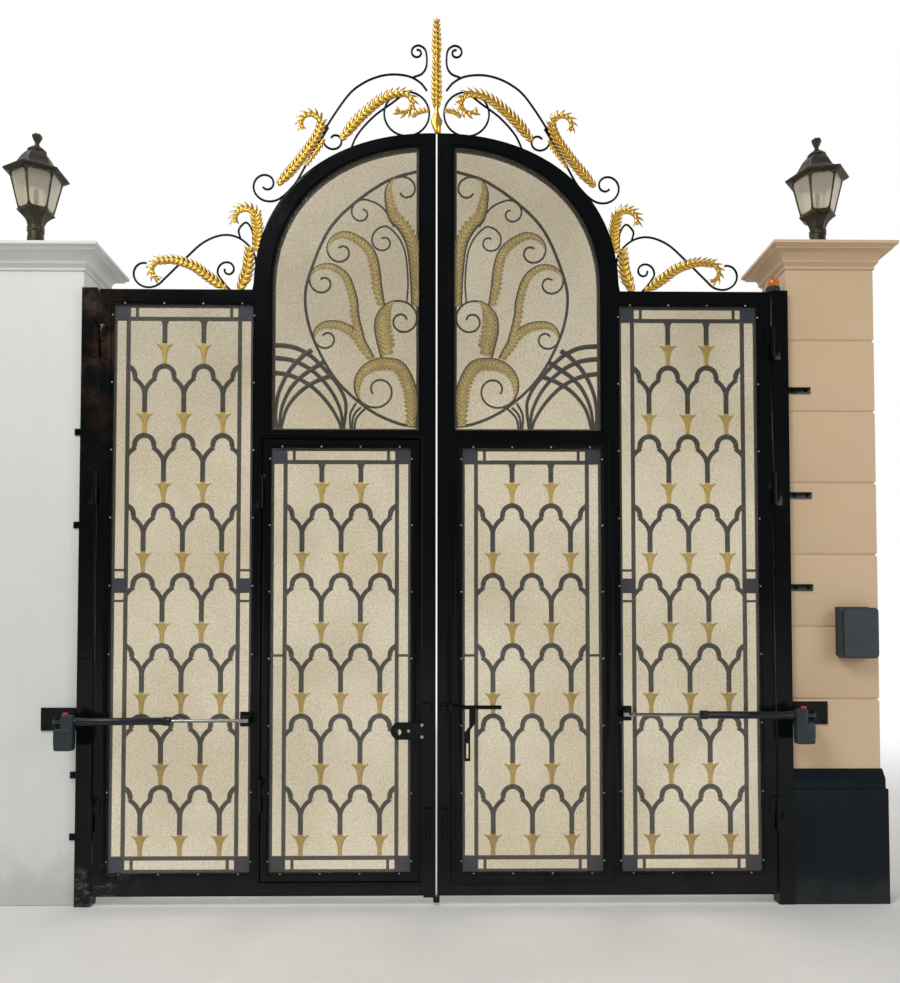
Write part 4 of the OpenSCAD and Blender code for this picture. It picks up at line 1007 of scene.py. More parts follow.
def in_opening(path, slack=0.004):
    """The stretch of a path within the window's opening, slack past its edge. The opening's half-width
    falls with height by the same curve as the arch."""
    u, z = path.T
    reach = ARCH_GLASS_OUT * arch_height(np.clip((z - SIDE_TOP_Z) / ARCH_RISE_IN, 0, 1))
    at = np.flatnonzero((u > ARCH_GLASS_IN - slack) & (z > TRANSOM_TOP - slack) & (u < reach + slack))
    return path[at[0]:at[-1] + 1] if len(at) > 1 else None


def arch_scrolls(side):
    """Round-edged bars along the hoop, the scrolls and the fans, each a hair deeper than the last, and a
    rim round the window."""
    shapes, near, far = [], SCROLL_Y, SCROLL_Y + SCROLL_T
    hoop = spline(mm(HOOP), 24)

    def add(path, width, edge=0.0028, end=None):
        """A bar along the part of a path that shows in the window."""
        path = in_opening(path)
        step = 0.00008 * (len(shapes) % 12)
        if path is not None:
            shapes.append(bar(path, width, near + step, far - step, side, edge, end=end))

    add(hoop, 0.016)
    for scroll, *_ in PLUMES:
        add(scroll_line(scroll), 0.011)
    for scroll in TENDRILS:
        add(scroll_line(scroll), 0.010)
    for wide, narrow, points in FANS:
        path = spline(mm(points), 16)
        outside = np.flatnonzero(~inside_hoop(path, hoop))
        add(path[outside[0]:outside[-1] + 1], wide / 1000, 0.002, narrow / 1000)
    half = ARCH_GLASS_OUT - RIM_W / 2
    outer = np.vstack([[[half, TRANSOM_TOP]], arch_edge(half, ARCH_RISE_IN - RIM_W / 2)])
    outer = outer[outer[:, 0] > ARCH_GLASS_IN]
    shapes.append(bar(outer, RIM_W - 0.001, near + 0.001, far - 0.001, side))
    low, top = TRANSOM_TOP + SEAM, SIDE_TOP_Z + ARCH_RISE_IN * arch_height(ARCH_GLASS_IN / ARCH_GLASS_OUT)
    shapes.append(slab(ARCH_GLASS_IN + SEAM, low, ARCH_GLASS_IN + RIM_W, top - 0.004, near + 0.0012,
                       far - 0.0012, side))
    shapes.append(slab(ARCH_GLASS_IN, low, ARCH_GLASS_OUT - SEAM, TRANSOM_TOP + RIM_W, near + 0.0014,
                       far - 0.0014, side))
    return shapes


def plume(scroll, width, share, side):
    """A feathered sheet inside a scroll. Across it runs s from 0 at the scroll to 1, along it the
    distance. Its thickness is an arch over s, grooved where (distance - 1.1 |offset from the rib|)
    passes a whole number of barb lengths, so the barbs point forwards from a rib on both sides; in the
    grooves the inner edge is notched."""
    line = scroll_line(scroll)
    walked = along(line)
    end = walked[-1] * share
    line = even(line[:int(np.searchsorted(walked, end)) + 1], int(end / 0.0021))
    t = np.linspace(0, 1, len(line))[:, None]
    run = along(line)[:, None]
    across = headings(line)[1] * scroll[2]
    reach = width / 1000 * np.minimum(1, 0.7 + 2 * t) * (1 - t ** 5) + 0.002
    s = np.linspace(0, 1, 21)
    off = np.abs(s - 0.42) * reach
    barb = np.abs(np.sin(math.pi * (run - 1.1 * off) / 0.026))
    arch = np.sin(math.pi * (0.05 + 0.9 * s)) ** 0.5
    rib = np.exp(-(off / 0.004) ** 2)
    half = 0.0029 * np.maximum(arch * (0.30 + 0.70 * barb), 0.95 * rib)
    out = 0.002 + s * (1 - 0.42 * (1 - barb) ** 0.8 * s ** 4) * (reach - 0.002)
    u, z = line[:, :1] + across[:, :1] * out, line[:, 1:] + across[:, 1:] * out
    mid = PLUME_Y + 0.003
    front, back = to_gate(u, mid - half, z, side), to_gate(u, mid + half, z, side)
    return shells(np.concatenate([front, back[:, ::-1]], axis=1))


# Crest, its points given outwards and upwards in mm

CREST_COILS = [
    ([[130, 4550], [80, 4572], [56, 4620], [61, 4700], [94, 4730]], [107, 4690], -1, 1.1, 15),
    ([[54, 4474], [92, 4520], [155, 4555], [245, 4565], [330, 4550], [415, 4510], [495, 4440], [605, 4275],
      [630, 4210]], [565, 4190], -1, 0.95, 24),
    ([[600, 4262], [655, 4170], [705, 4085], [785, 3940], [870, 3858]], [940, 3940], 1, 1.25, 24),
    ([[1128, 3340], [1168, 3385], [1204, 3440]], [1148, 3460], 1, 1.1, 17),
    ([[1010, 3340], [995, 3440], [1005, 3550], [1075, 3630], [1170, 3655], [1280, 3615], [1385, 3520],
      [1500, 3405]], [1600, 3450], 1, 0.7, 45),
]
CREST_LINES = [
    [[490, 4100], [440, 4220], [350, 4325], [245, 4405], [170, 4466]],
    [[1010, 3600], [1015, 3675], [1050, 3725], [1090, 3685], [1080, 3632]],
]
# Each leaf's scroll, its width in millimetres, and its pairs of leaflets
CREST_FEATHERS = [
    (([[530, 4186], [440, 4298], [335, 4396], [255, 4443], [188, 4455]], [188, 4392], 1, 0.64, 50), 68, 22),
    (([[876, 3932], [766, 4060], [672, 4192], [640, 4275]], [700, 4278], -1, 0.62, 52), 66, 23),
    (([[990, 3560], [982, 3650], [992, 3735]], [1055, 3740], -1, 0.57, 58), 72, 17),
    (([[1152, 3346], [1248, 3415], [1332, 3474], [1428, 3508], [1508, 3508]], [1512, 3450], -1, 0.5, 50),
     64, 21),
]
CREST_SPRIGS = [
    ([[622, 4190], [652, 4140], [722, 4040]], 38, 7),
    ([[1081, 3344], [1040, 3455], [1028, 3585]], 76, 8),
    ([[136, 4320], [98, 4348], [42, 4358]], 40, 5),
]


def above_leaf(path):
    """The part of a crest line that stands clear of the leaf's own frame."""
    u, z = path.T
    over_arch = SIDE_TOP_Z + ARCH_RISE_OUT * arch_height(u / ARCH_OUT) - 0.006
    inside = (u < ARCH_OUT) & (z < over_arch) | (z < SIDE_TOP_Z - 0.006)
    keep = np.flatnonzero(~inside)
    return path[keep[0]:keep[-1] + 1]


def crest_scrolls(side):
    """Round-edged bars along the crest's scrolls, and a ring beside the finial."""
    lines = [above_leaf(line) for line in
             [scroll_line(s) for s in CREST_COILS] + [spline(mm(p), 12) for p in CREST_LINES]]
    bars = [(line, 0.0001 * i, False) for i, line in enumerate(lines)]
    ring = arc((0.166, SIDE_TOP_Z + ARCH_RISE_OUT + 0.119), 0.125, 0, 360 * 71 / 72, 72)
    return [bar(line, CREST_BAR_W, CREST_Y + step, CREST_Y + CREST_T - step, side, CREST_BAR_EDGE, closed)
            for line, step, closed in bars + [(ring, 0.0008, True)]]


def leaflets(path, width, pairs, side, mid, taper=0.3, flat=1.0, stem=0.0105, planes=("across",)):
    """A feathered leaf along a path: pairs of long pointed leaflets on a flat stem. A leaflet's midline
    leaves the stem at the spread angle and bends forward to 0.6 of it; its half-width is a sine of the
    way along it, and its section is an ellipse tipped so that the forward edge stands proud."""
    spread = bpy.context.scene.gate_sizes.leaflet_spread
    path = even(path, 300)
    heading, across = headings(path)
    t = (np.arange(pairs) + 0.1) / pairs
    at = np.clip((t * 299).round().astype(int), 0, 299)
    reach = width / 2 * np.minimum(1, 0.7 + 4 * t) * (1 - taper * t ** 2)
    q = np.linspace(0, 1, 12)
    bend = spread * (1 - 0.4 * q)
    walk_on, walk_out = (np.concatenate([[0], np.cumsum(f(bend[:-1]))]) / 11 for f in (np.cos, np.sin))
    size = reach / walk_out[-1]
    half = np.minimum(0.38 * along(path)[-1] / pairs, 0.2 * size)[:, None] \
        * np.sin(math.pi * (0.25 + 0.745 * q ** 0.8))
    a = angles(10)
    thick = 0.0042 * flat * np.sin(math.pi * (0.2 + 0.75 * q)) ** 0.6
    on, out = (size[:, None] * walk_on)[..., None], (size[:, None] * walk_out)[..., None]
    shapes = []
    for sign in (-1, 1):
        f, n = heading[at][:, None], across[at][:, None] * sign
        edge = np.cos(bend)[:, None] * n - np.sin(bend)[:, None] * f
        for plane in planes:
            wide = plane == "across"
            spine = path[at][:, None] + f * on + n * out * (1.0 if wide else 0.3)
            w = half[..., None, None] * (1.0 if wide else 1.1) * np.cos(a)[None, None, :, None]
            points = spine[:, :, None] - edge[:, :, None] * w
            depth = np.sin(a) * thick[None, :, None] + 0.42 * half[..., None] * np.cos(a) * flat
            depth = depth + 0.0016 * np.sin(math.pi * q)[None, :, None]
            if not wide:
                depth = depth + sign * (np.sin(math.pi * q ** 0.8) * 0.0045 + 0.003)[None, :, None]
            shapes.append(shells(to_gate(points[..., 0], mid - depth, points[..., 1], side)))
    line = even(path, 80)
    n = headings(line)[1]
    b = angles(14)
    r = stem * (1 - 0.45 * np.linspace(0, 1, 80)[:, None] ** 3) * np.cos(b)
    shapes.append(shells(to_gate(line[:, :1] + n[:, :1] * r, mid - 0.0036 * flat * np.sin(b),
                                 line[:, 1:] + n[:, 1:] * r, side)))
    return shapes


def crest_leaves(side):
    """Feathered leaves in front of the crest: the long ones along scrolls, the sprigs along lines."""
    leaves = [(scroll_line(scroll), *size) for scroll, *size in CREST_FEATHERS]
    leaves += [(spline(mm(points), 12), *size) for points, *size in CREST_SPRIGS]
    return [shape for line, width, pairs in leaves
            for shape in leaflets(above_leaf(line), width / 1000, pairs, side, CREST_Y - LEAF_RISE)]


def finial():
    """Two feathered spikes over a bell: the bell's radius runs through its points as a smooth line,
    and its depth is held to 12 mm."""
    base, mid = SIDE_TOP_Z + ARCH_RISE_OUT, FRONT_Y + LEAF_T / 2
    shapes = []
    for low, run, width, pairs in ((0.150, 0.327, 0.066, 11), (0.425, 0.235, 0.060, 8)):
        path = to_points(0, base + low + np.linspace(0, run, 60))
        shapes += leaflets(path, width, pairs, RIGHT, mid, 0.4, 1.3, 0.009, ("across", "along"))
    bell = spline(mm([[4, 0.5], [14, 8], [40, 22], [66, 31], [84, 31], [100, 22], [120, 15], [150, 10.5],
                      [300, 10], [400, 10], [420, 15], [436, 15], [452, 9]]), 6)
    a, r = angles(24), bell[:, 1:]
    depth = mid + np.minimum(r, 0.0119) * np.sin(a)
    shapes.append(shells(to_gate(r * np.cos(a), depth, base + bell[:, :1], RIGHT)))
    shapes.append(slab(0.006, base - 0.003, 0.024, base + 0.060, FRONT_Y + 0.014, FRONT_Y + 0.036, RIGHT))
    return shapes


# Rams

def ram_frame(side):
    """Turns a ram's own x, y and z into the gate's: x runs from its rear pivot to its front one."""
    d = np.array(RAM_FORE) - RAM_REAR
    d = d / np.hypot(*d)

    def place(x, y, z):
        """Points of the ram in the gate's frame."""
        u = RAM_REAR[0] + d[0] * x - d[1] * y
        return to_gate(u, RAM_REAR[1] + d[1] * x + d[0] * y, RAM_Z[side] + z, side)

    return place


def ram_tube(side):
    """A turned bar along the ram, from the profile's distances and radii in mm."""
    x, r = mm([(94, 20), (100, 20), (102, 19.3), (104, 20), (330, 20), (332, 19.4), (334, 20), (546, 20),
               (549, 22), (551, 23.6), (553, 24), (562, 24), (563, 23.2), (565, 23.2), (566, 24), (585, 24),
               (588.5, 23.2), (590, 20.5), (590, 12), (586, 10.5), (580, 10.2)]).T[..., None]
    a = angles(40)
    return shells(ram_frame(side)(x, r * np.cos(a), r * np.sin(a)))


def ram_motor(side):
    """The cast head on the pivot with its arm and eye, and the motor's case that hangs from its neck. A
    level is a height, where the outline's middle is, and its half sizes, in mm. The eye is a ring: a
    profile of height and radius carried round the pivot."""
    place = ram_frame(side)
    head = [(-26, 62, 0, 29, 29), (-24, 62, 0, 31.5, 31.5), (20, 62, 0, 32, 32), (30, 62, 0, 30, 29),
            (34, 62, 0, 24, 22)]
    case = [(-150, 44, 0, 38, 24), (-148, 44, 0, 44, 30), (-142, 44, 0, 48, 33.5), (-125, 44, 0, 48.5, 34),
            (-124, 44, 0, 47, 32.5), (-121, 44, 0, 47, 32.5), (-120, 44, 0, 50, 34), (-60, 44, 0, 50, 34),
            (-44, 44, 0, 49, 33.5), (-37, 44, 0, 45, 30), (-34, 44, 0, 40, 26)]
    neck = [(-40, 63, 0, 29, 31), (-22, 63, 0, 29, 31)]
    arm = [(-10, 16, 0, 18, 11.5), (-9, 16, 0, 18.5, 12), (9, 16, 0, 18.5, 12), (10, 16, 0, 18, 11.5)]
    shapes = [rounded_box(mm(levels), place, power)
              for levels, power in ((head, 5.0), (case, 6.0), (neck, 5.0), (arm, 5.0))]
    a = angles(40)
    z, r = mm([(-10, 15), (-9, 16), (9, 16), (10, 15), (10, 8.2), (-10, 8.2)]).T[..., None]
    shapes.append(shells(place(r * np.cos(a), r * np.sin(a), z), ring=True))
    return shapes


def ram_front(side):
    """A raised panel on the front of the motor's case: a superellipse that draws in as it stands out."""
    place = ram_frame(side)
    c, s = superellipse(5.0, 48)
    levels = [(0.0300, 0.030, 0.050), (0.0325, 0.030, 0.050), (0.0340, 0.0285, 0.0485)]
    return shells(np.stack([place(0.046 + hx * c, y, -0.088 + hz * s) for y, hx, hz in levels]))


def ram_cap(side):
    """A ribbed red cap over the release: radius 15 mm with twelve shallow flutes."""
    a = angles(48)
    z, r = mm([(33, 14.2), (36, 15), (44.5, 14.6), (46.5, 13.2), (47, 10)]).T[..., None]
    r = r * (1 - 0.035 * (1 + np.cos(12 * a)) / 2)
    return shells(ram_frame(side)(0.047 + r * np.cos(a), r * np.sin(a), z))


# Bolts

def hex_heads(places, radius=0.008, height=0.0055, axis=(0, -1, 0)):
    """Six-sided heads on round washers, chamfered at the top."""
    w, h = radius * 1.35, 0.0012
    washer = [(0, w), (h, w), (h * 1.001, radius * 0.5)]
    head = [(h * 1.01, radius), (height, radius), (height * 1.18, radius * 0.86),
            (height * 1.2, radius * 0.05)]
    return [repeated(turned(profile, (0, 0, 0), axis, 18, corners), places)
            for profile, corners in ((washer, 0), (head, HEX))]


def plate_bolts():
    """Heads on the rams' wall plates and leaf plates, and on the wall ties of both jambs."""
    wall, leaves = -PIER_D / 2, {}
    posts = [(GATE_X - JAMB_OUT - 0.024, wall - 0.006, z)
             for z in (0.367, 0.698, JAMB_H - 1.300, JAMB_H - 0.791)]
    posts += [(GATE_X + JAMB_OUT + d, wall - 0.006, JAMB_H - drop)
              for drop in (1.638, 1.131, 0.549) for d in (0.035, 0.105)]
    for side in (LEFT, RIGHT):
        posts += [(GATE_X + side * (JAMB_OUT + u), wall - 0.008, RAM_Z[side] + dz)
                  for u in (0.022, 0.182) for dz in (0.042, -0.046)]
        leaves[side] = [(GATE_X + side * (RAM_FORE[0] + du), FRONT_Y - 0.006, RAM_Z[side] + dz)
                        for du in (-0.030, 0.034) for dz in (0.029, -0.029)]
    return posts, leaves


# Lanterns

def lantern_body(side):
    """Six-sided parts about the lantern's axis: a turned stem and collar, a hollow-sided cup, and a roof
    whose outline flares out to the eaves and swells to a dome under its cap. Profiles are height and
    radius in mm."""
    foot = np.array([LANTERN_X[side], 0, PIER_H[side] + CORNICE_H])
    head = foot + [0, 0, STEM_H[side]]
    top = STEM_H[side] * 1000
    shapes = []

    def ring(points, origin=head, sides=40, corners=0, wave=None):
        """One part of the lantern, from its profile."""
        shapes.append(shells(turned(mm(points), origin, sides=sides, corners=corners,
                                    turn=LANTERN_TURN[side], wave=wave)))

    stem = spline([[14, 54], [40, 53], [80, 49], [top - 34, 44.5], [top, 42]], 4)
    ring(np.vstack([[[0, 60], [2, 62], [11, 62], [14, 60]], stem]), foot)
    ring([(-2, 43), (0, 46), (4, 47.5), (8, 46), (10, 44), (16, 44), (18, 46.5), (23, 47.5), (27, 45.5)])
    cup = spline([[24, 42], [40, 45], [58, 51], [76, 62], [92, 77], [106, 96]], 4)
    sill = [(105, 95), (107, 99), (112, 100.5), (116, 99), (118, 95), (121, 92), (124, 84)]
    eaves = [(314, 138), (317, 143), (319, 150), (322, 166), (325, 173), (328, 174.9), (334, 174.9),
             (337, 171)]
    roof = spline([[337, 171], [345, 150], [356, 130], [370, 115], [390, 102], [412, 90], [434, 76],
                   [452, 61], [462, 50]], 5)
    for outline in (cup, sill, eaves, roof):
        ring(outline, sides=60, corners=HEX)
    ring([(460, 44), (463, 50), (467, 52), (471, 50), (475, 45), (482, 38), (490, 28), (496, 18)])
    ring([(494, 15), (504, 14), (510, 11), (516, 11.5), (528, 17), (542, 22), (554, 24.5), (561, 24),
          (565, 21), (567, 15)], sides=36,
         wave=lambda a, h: 1 + 0.13 * np.cos(6 * a) * np.clip((h - 0.518) / 0.03, 0, 1))
    ring([(118, 16), (122, 16), (124, 12.5), (233, 12.5), (237, 13.2), (242, 13.2), (245, 10)], sides=24)
    return shapes


def lantern_faces(side, pane=False):
    """The windows' frames, or their panes. Each of the six faces spans from radius 94 mm at its foot to
    143 mm at its head, measured at the corners. A frame runs from a rounded opening, a superellipse, out
    to the face's edge and back behind it; a pane fills the opening."""
    z0, z1, r0, r1 = 0.117, 0.319, 0.0945, 0.1435
    base = PIER_H[side] + CORNICE_H + STEM_H[side]
    c, s = superellipse(7.0, 64)
    x, z = np.cos(angles(64)), np.sin(angles(64))
    square = np.maximum(np.abs(x), np.abs(z))
    opening, edge = (0.87 * c, 0.93 * s), (x / square, z / square)
    shapes = []
    for k in range(HEX):
        mid = LANTERN_TURN[side] + (k + 0.5) * math.pi / 3
        out = np.array([math.cos(mid), math.sin(mid)])
        sideways = np.array([-out[1], out[0]])

        def row(fx, fz, depth):
            """A line on the face, from shares of its half-width and half-height, at a depth."""
            h = (fz[:, None] + 1) / 2
            r = r0 + (r1 - r0) * h
            xy = out * (r * math.cos(math.pi / 6) - depth) + sideways * fx[:, None] * r / 2
            return np.concatenate([xy + [LANTERN_X[side], 0], base + z0 + (z1 - z0) * h], -1)

        if pane:
            shapes.append(shells(np.stack([row(0.90 * c, 0.96 * s, d) for d in (0.0035, 0.0060)])))
        else:
            rows = [row(*opening, 0.0012), row(*edge, 0.0), row(*edge, 0.0075), row(*opening, 0.0075)]
            shapes.append(shells(np.stack(rows, axis=1), ring=True))
    return shapes


# Beacon

def beacon_base(foot):
    """The lamp's turned base, from height and radius in mm."""
    return shells(turned(mm([(0, 37), (2, 38), (28, 38), (32, 36.5), (33, 33)]), foot, sides=48))


def beacon_lens(foot):
    """A domed lens with 24 flutes: the radius is times 1 - 0.011 (1 + cos(24 a))."""
    dome = mm([(31, 33.5), (33, 34), (60, 34), (66, 32.5), (74, 29), (81, 24), (86, 17), (89, 9), (90, 2)])
    return shells(turned(dome, foot, sides=96, wave=lambda a, h: 1 - 0.011 * (1 + np.cos(24 * a))))


# Stage

def make_camera(scene):
    """The picture's own view of the gate."""
    lens = bpy.data.cameras.new("camera")
    lens.sensor_fit, lens.sensor_width, lens.lens = "HORIZONTAL", SENSOR_MM, LENS_MM
    lens.shift_x, lens.shift_y = SHIFT
    camera = bpy.data.objects.new("camera", lens)
    camera.location, camera.rotation_euler = EYE, EYE_TURN
    scene.collection.objects.link(camera)
    scene.camera = camera


def make_lamps(scene, look):
    """Three large soft lamps, all aimed at the middle of the gate."""
    for name, place, power, size in (("key", (-1.6, -5.6, 8.6), look.key_power, 3.0),
                                     ("fill", (9.6, -4.8, 3.6), look.fill_power, 3.0),
                                     ("back", (2.8, 5.4, 6.4), look.back_power, 4.0)):
        light = bpy.data.lights.new(name, "AREA")
        light.energy, light.size = power, size
        lamp = bpy.data.objects.new(name, light)
        aim = Vector((GATE_X, 0, 1.9)) - Vector(place)
        lamp.location, lamp.rotation_euler = place, aim.to_track_quat("-Z", "Y").to_euler()
        lamp.visible_transmission, lamp.visible_glossy = False, name != "back"
        scene.collection.objects.link(lamp)


def make_floor(scene, look):
    """A round floor: rings of points at radius r, meeting in the middle. It turns to the background's
    white where it is far off and where glass shows it."""
    a, r = angles(64), np.array([0.5, 2.0, 5.0, 10.0, 20.0, 45.0])[:, None]
    top = to_points(GATE_X + r * np.cos(a), r * np.sin(a), 0.0)
    low = top[-1:] - [0, 0, 0.05]
    verts, quads, tris = shells(np.concatenate([low, top[::-1]]))
    mesh = bpy.data.meshes.new("floor")
    mesh.from_pydata(verts.tolist(), [], quads.tolist() + tris.tolist())
    m = Finish("floor")
    at = m.at()
    tone = m.span(m.noise(at, 1.2, 6.0), 0.3, 0.7, 0.94, 1.04)
    m.wear(Roughness=0.8, Base_Color=m.mix(1.0, rgb(look.floor), tone, "MULTIPLY"))
    m.bump(m.times(m.noise(at, 60.0, 5.0), 0.0015))
    far = m.soft(m.add("VectorMath", {0: at}, operation="LENGTH").outputs["Value"], 5.0, 11.0)
    paths = m.add("LightPath").outputs
    seen = m.most(paths["Is Camera Ray"], paths["Is Glossy Ray"])
    share = m.most(paths["Is Transmission Ray"], m.times(seen, far))
    white = m.add("Emission", {"Color": (1, 1, 1, 1), "Strength": 1.0})
    m.put(m.output, "Surface", m.add("MixShader", {0: share, 1: m.shader, 2: white}))
    mesh.materials.append(m.material)
    floor = bpy.data.objects.new("floor", mesh)
    scene.collection.objects.link(floor)


def make_sky(scene, look):
    """White where the camera, gloss or glass sees it towards the street, plain grey light elsewhere."""
    scene.world = bpy.data.worlds.new("sky")
    scene.world.use_nodes = True
    g = Graph(scene.world.node_tree)
    g.tree.nodes.clear()
    way = g.add("SeparateXYZ", {0: g.add("TexCoord").outputs["Generated"]}).outputs[1]
    street = g.soft(way, -0.25, 0.2, look.sky * 0.25, 1.0)
    paths = g.add("LightPath").outputs
    seen = g.most(paths["Is Glossy Ray"], paths["Is Transmission Ray"])
    light = g.times(g.math("SUBTRACT", 1.0, seen), look.sky)
    strength = g.most(g.math("ADD", g.times(seen, street), light), paths["Is Camera Ray"])
    background = g.add("Background", {"Color": (1, 1, 1, 1), "Strength": strength})
    g.add("OutputWorld", {"Surface": background})


# Settings

def colour(name, description, value):
    """A colour that the user may change."""
    return bpy.props.FloatVectorProperty(name=name, description=description, subtype="COLOR", size=3,
                                         min=0.0, max=1.0, default=value)


def length(name, description, value, low, high):
    """A length in metres that the user may change."""
    return bpy.props.FloatProperty(name=name, description=description, default=value, min=low, max=high,
                                   unit="LENGTH", subtype="DISTANCE")


def power(name, description, value):
    """A lamp's power in watts that the user may change."""
    return bpy.props.FloatProperty(name=name, description=description, default=value, min=0.0, max=1000.0,
                                   unit="POWER")


class GateSizes(bpy.types.PropertyGroup):
    """Sizes of the fine detail."""
    steel_edge: length("Steel edge", "Rounding of the frames' edges", 0.0016, 0.0002, 0.003)
    masonry_edge: length("Masonry edge", "Rounding of the piers' edges", 0.005, 0.001, 0.007)
    screw_radius: length("Screw radius", "Radius of the glazing screws' heads", 0.0042, 0.002, 0.006)
    pebble_size: length("Pebble size", "Width of a pebble in the glass", 0.0075, 0.003, 0.02)
    pebble_depth: length("Pebble depth", "Height of a pebble in the glass", 0.0008, 0.0001, 0.002)
    leaflet_spread: bpy.props.FloatProperty(
        name="Leaflet spread", description="Angle at which a leaflet leaves its stem",
        default=math.radians(46), min=math.radians(25), max=math.radians(75), unit="ROTATION",
        subtype="ANGLE")


class GateColours(bpy.types.PropertyGroup):
    """Colours of the finishes."""
    white_render: colour("White render", "Paint of the plain pier", (0.70, 0.71, 0.69))
    cream_render: colour("Cream render", "Paint of the jointed pier and the cornices", (0.59, 0.43, 0.27))
    plinth: colour("Plinth", "Paint of the plinth", (0.0022, 0.006, 0.0095))
    steel: colour("Steel", "Gloss paint of the frames", (0.0022, 0.0031, 0.0034))
    grille: colour("Grille", "Paint of the bars behind the glass", (0.016, 0.028, 0.080))
    gold: colour("Gold", "Gold of the crest's leaves", (0.80, 0.48, 0.08))
    aged_gold: colour("Aged gold", "Gold of the capitals", (0.80, 0.66, 0.27))
    faded_gold: colour("Faded gold", "Gold of the plumes in the arched window", (0.92, 0.84, 0.50))
    glass: colour("Glass", "Tint of the pebbled glass", (0.62, 0.54, 0.385))
    lantern: colour("Lantern", "Paint of the lanterns", (0.020, 0.021, 0.016))
    pane: colour("Lantern pane", "Tint of the lanterns' glass", (0.92, 0.87, 0.72))
    beacon: colour("Beacon", "Lens of the warning beacon", (0.80, 0.25, 0.02))
    rubber: colour("Rubber", "Base of the warning beacon", (0.012, 0.012, 0.013))
    housing: colour("Ram housing", "Housings of the rams", (0.024, 0.036, 0.040))
    barrel: colour("Ram barrel", "Barrels of the rams", (0.009, 0.011, 0.016))
    cap: colour("Release cap", "Caps on the rams' housings", (0.45, 0.02, 0.02))
    rod: colour("Ram rod", "Bright rods of the rams", (0.36, 0.36, 0.35))
    zinc: colour("Zinc", "Plating of the screws", (0.80, 0.80, 0.78))
    plastic: colour("Control box", "Moulded case of the control box", (0.022, 0.03, 0.036))


class StageLook(bpy.types.PropertyGroup):
    """The floor, the light and the background."""
    floor: colour("Floor", "Colour of the floor", (0.72, 0.71, 0.68))
    sky: bpy.props.FloatProperty(name="Sky", description="Strength of the even light all round", default=0.5,
                                 min=0.0, max=1.0, subtype="FACTOR")
    key_power: power("Key lamp", "Power of the large lamp on the left", 420.0)
    fill_power: power("Fill lamp", "Power of the lamp on the right", 130.0)
    back_power: power("Back lamp", "Power of the lamp over the street side", 160.0)


# Operators

class GATE_OT_stage(bpy.types.Operator):
    """Make the floor, the background, the lamps and the camera"""
    bl_idname = "gate.stage"
    bl_label = "Stage"
    bl_options = {"REGISTER", "UNDO"}

    def execute(self, context):
        scene = context.scene
        scene.view_settings.view_transform = "Standard"
        make_camera(scene)
        for make in (make_lamps, make_floor, make_sky):
            make(scene, scene.gate_stage)
        return {"FINISHED"}


class GATE_OT_masonry(bpy.types.Operator):
    """Finish the piers, cornices and plinth"""
    bl_idname = "gate.masonry"
    bl_label = "Piers, cornices and plinth"
    bl_options = {"REGISTER", "UNDO"}

    def execute(self, context):
        edge = context.scene.gate_sizes.masonry_edge
        eased("left_pier", edge, segments=3)
        eased("right_pier", edge * 0.8, segments=3)
        eased("right_plinth", edge * 0.6)
        for side, name in SIDE_NAME.items():
            stand_in(name + "_cornice_moulded", [cornice(side)], name + "_cornice")
        return {"FINISHED"}


class GATE_OT_frames(bpy.types.Operator):
    """Finish the jambs, the leaves' frames and the panels' frames, and stop the wicket door from behind"""
    bl_idname = "gate.frames"
    bl_label = "Jambs and frames"
    bl_options = {"REGISTER", "UNDO"}

    def execute(self, context):
        for node in ("left_jamb", "right_jamb", "left_leaf_frame", "right_leaf_frame", "right_panel_frame",
                     "wicket_frame"):
            eased(node, context.scene.gate_sizes.steel_edge, angle=24)
        piece("wicket_door_stop", door_stop(), body_of("left_leaf_frame"), slot_of("left_leaf_frame"))
        return {"FINISHED"}


class GATE_OT_grilles(bpy.types.Operator):
    """Make the grilles, the capitals, the glass and its screws"""
    bl_idname = "gate.grilles"
    bl_label = "Grilles and glass"
    bl_options = {"REGISTER", "UNDO"}

    def execute(self, context):
        for name, *pane in (("left_side", LEFT, SIDE_U, SIDE_GLASS_TOP),
                            ("right_side", RIGHT, SIDE_U, SIDE_GLASS_TOP),
                            ("wicket", LEFT, CENTRE_U, CENTRE_GLASS_TOP),
                            ("right_panel", RIGHT, CENTRE_U, CENTRE_GLASS_TOP)):
            stand_in(name + "_ogee_grille", grille(*pane), name + "_grille")
            stand_in(name + "_trumpet_capitals", [capitals(*pane)], name + "_capitals",
                     material="aged_gold", sharp=60)
            piece(name + "_glazing_screws", [screw_heads(*pane)], body_of(name + "_grille"), "bright_rod",
                  material="plated_steel")
            repaint(name + "_glass")
        return {"FINISHED"}


class GATE_OT_window(bpy.types.Operator):
    """Make the arched window's scrolls and plumes"""
    bl_idname = "gate.window"
    bl_label = "Arched window"
    bl_options = {"REGISTER", "UNDO"}

    def execute(self, context):
        def rise(p):
            """How far a point stands out of a plume, as a share."""
            return (PLUME_Y + 0.0022 - p[:, 1]) / 0.0022

        for side, name in SIDE_NAME.items():
            stand_in(name + "_arch_ironwork", arch_scrolls(side), name + "_arch_scrolls", sharp=50)
            # The plumes' gold paints shade in the grooves between the barbs and a highlight on them, from
            # rise
            stand_in(name + "_arch_feathers", [plume(*p, side) for p in PLUMES], name + "_arch_plumes",
                     rise=rise, material="faded_gold", sharp=80)
            repaint(name + "_arch_glass")
        return {"FINISHED"}


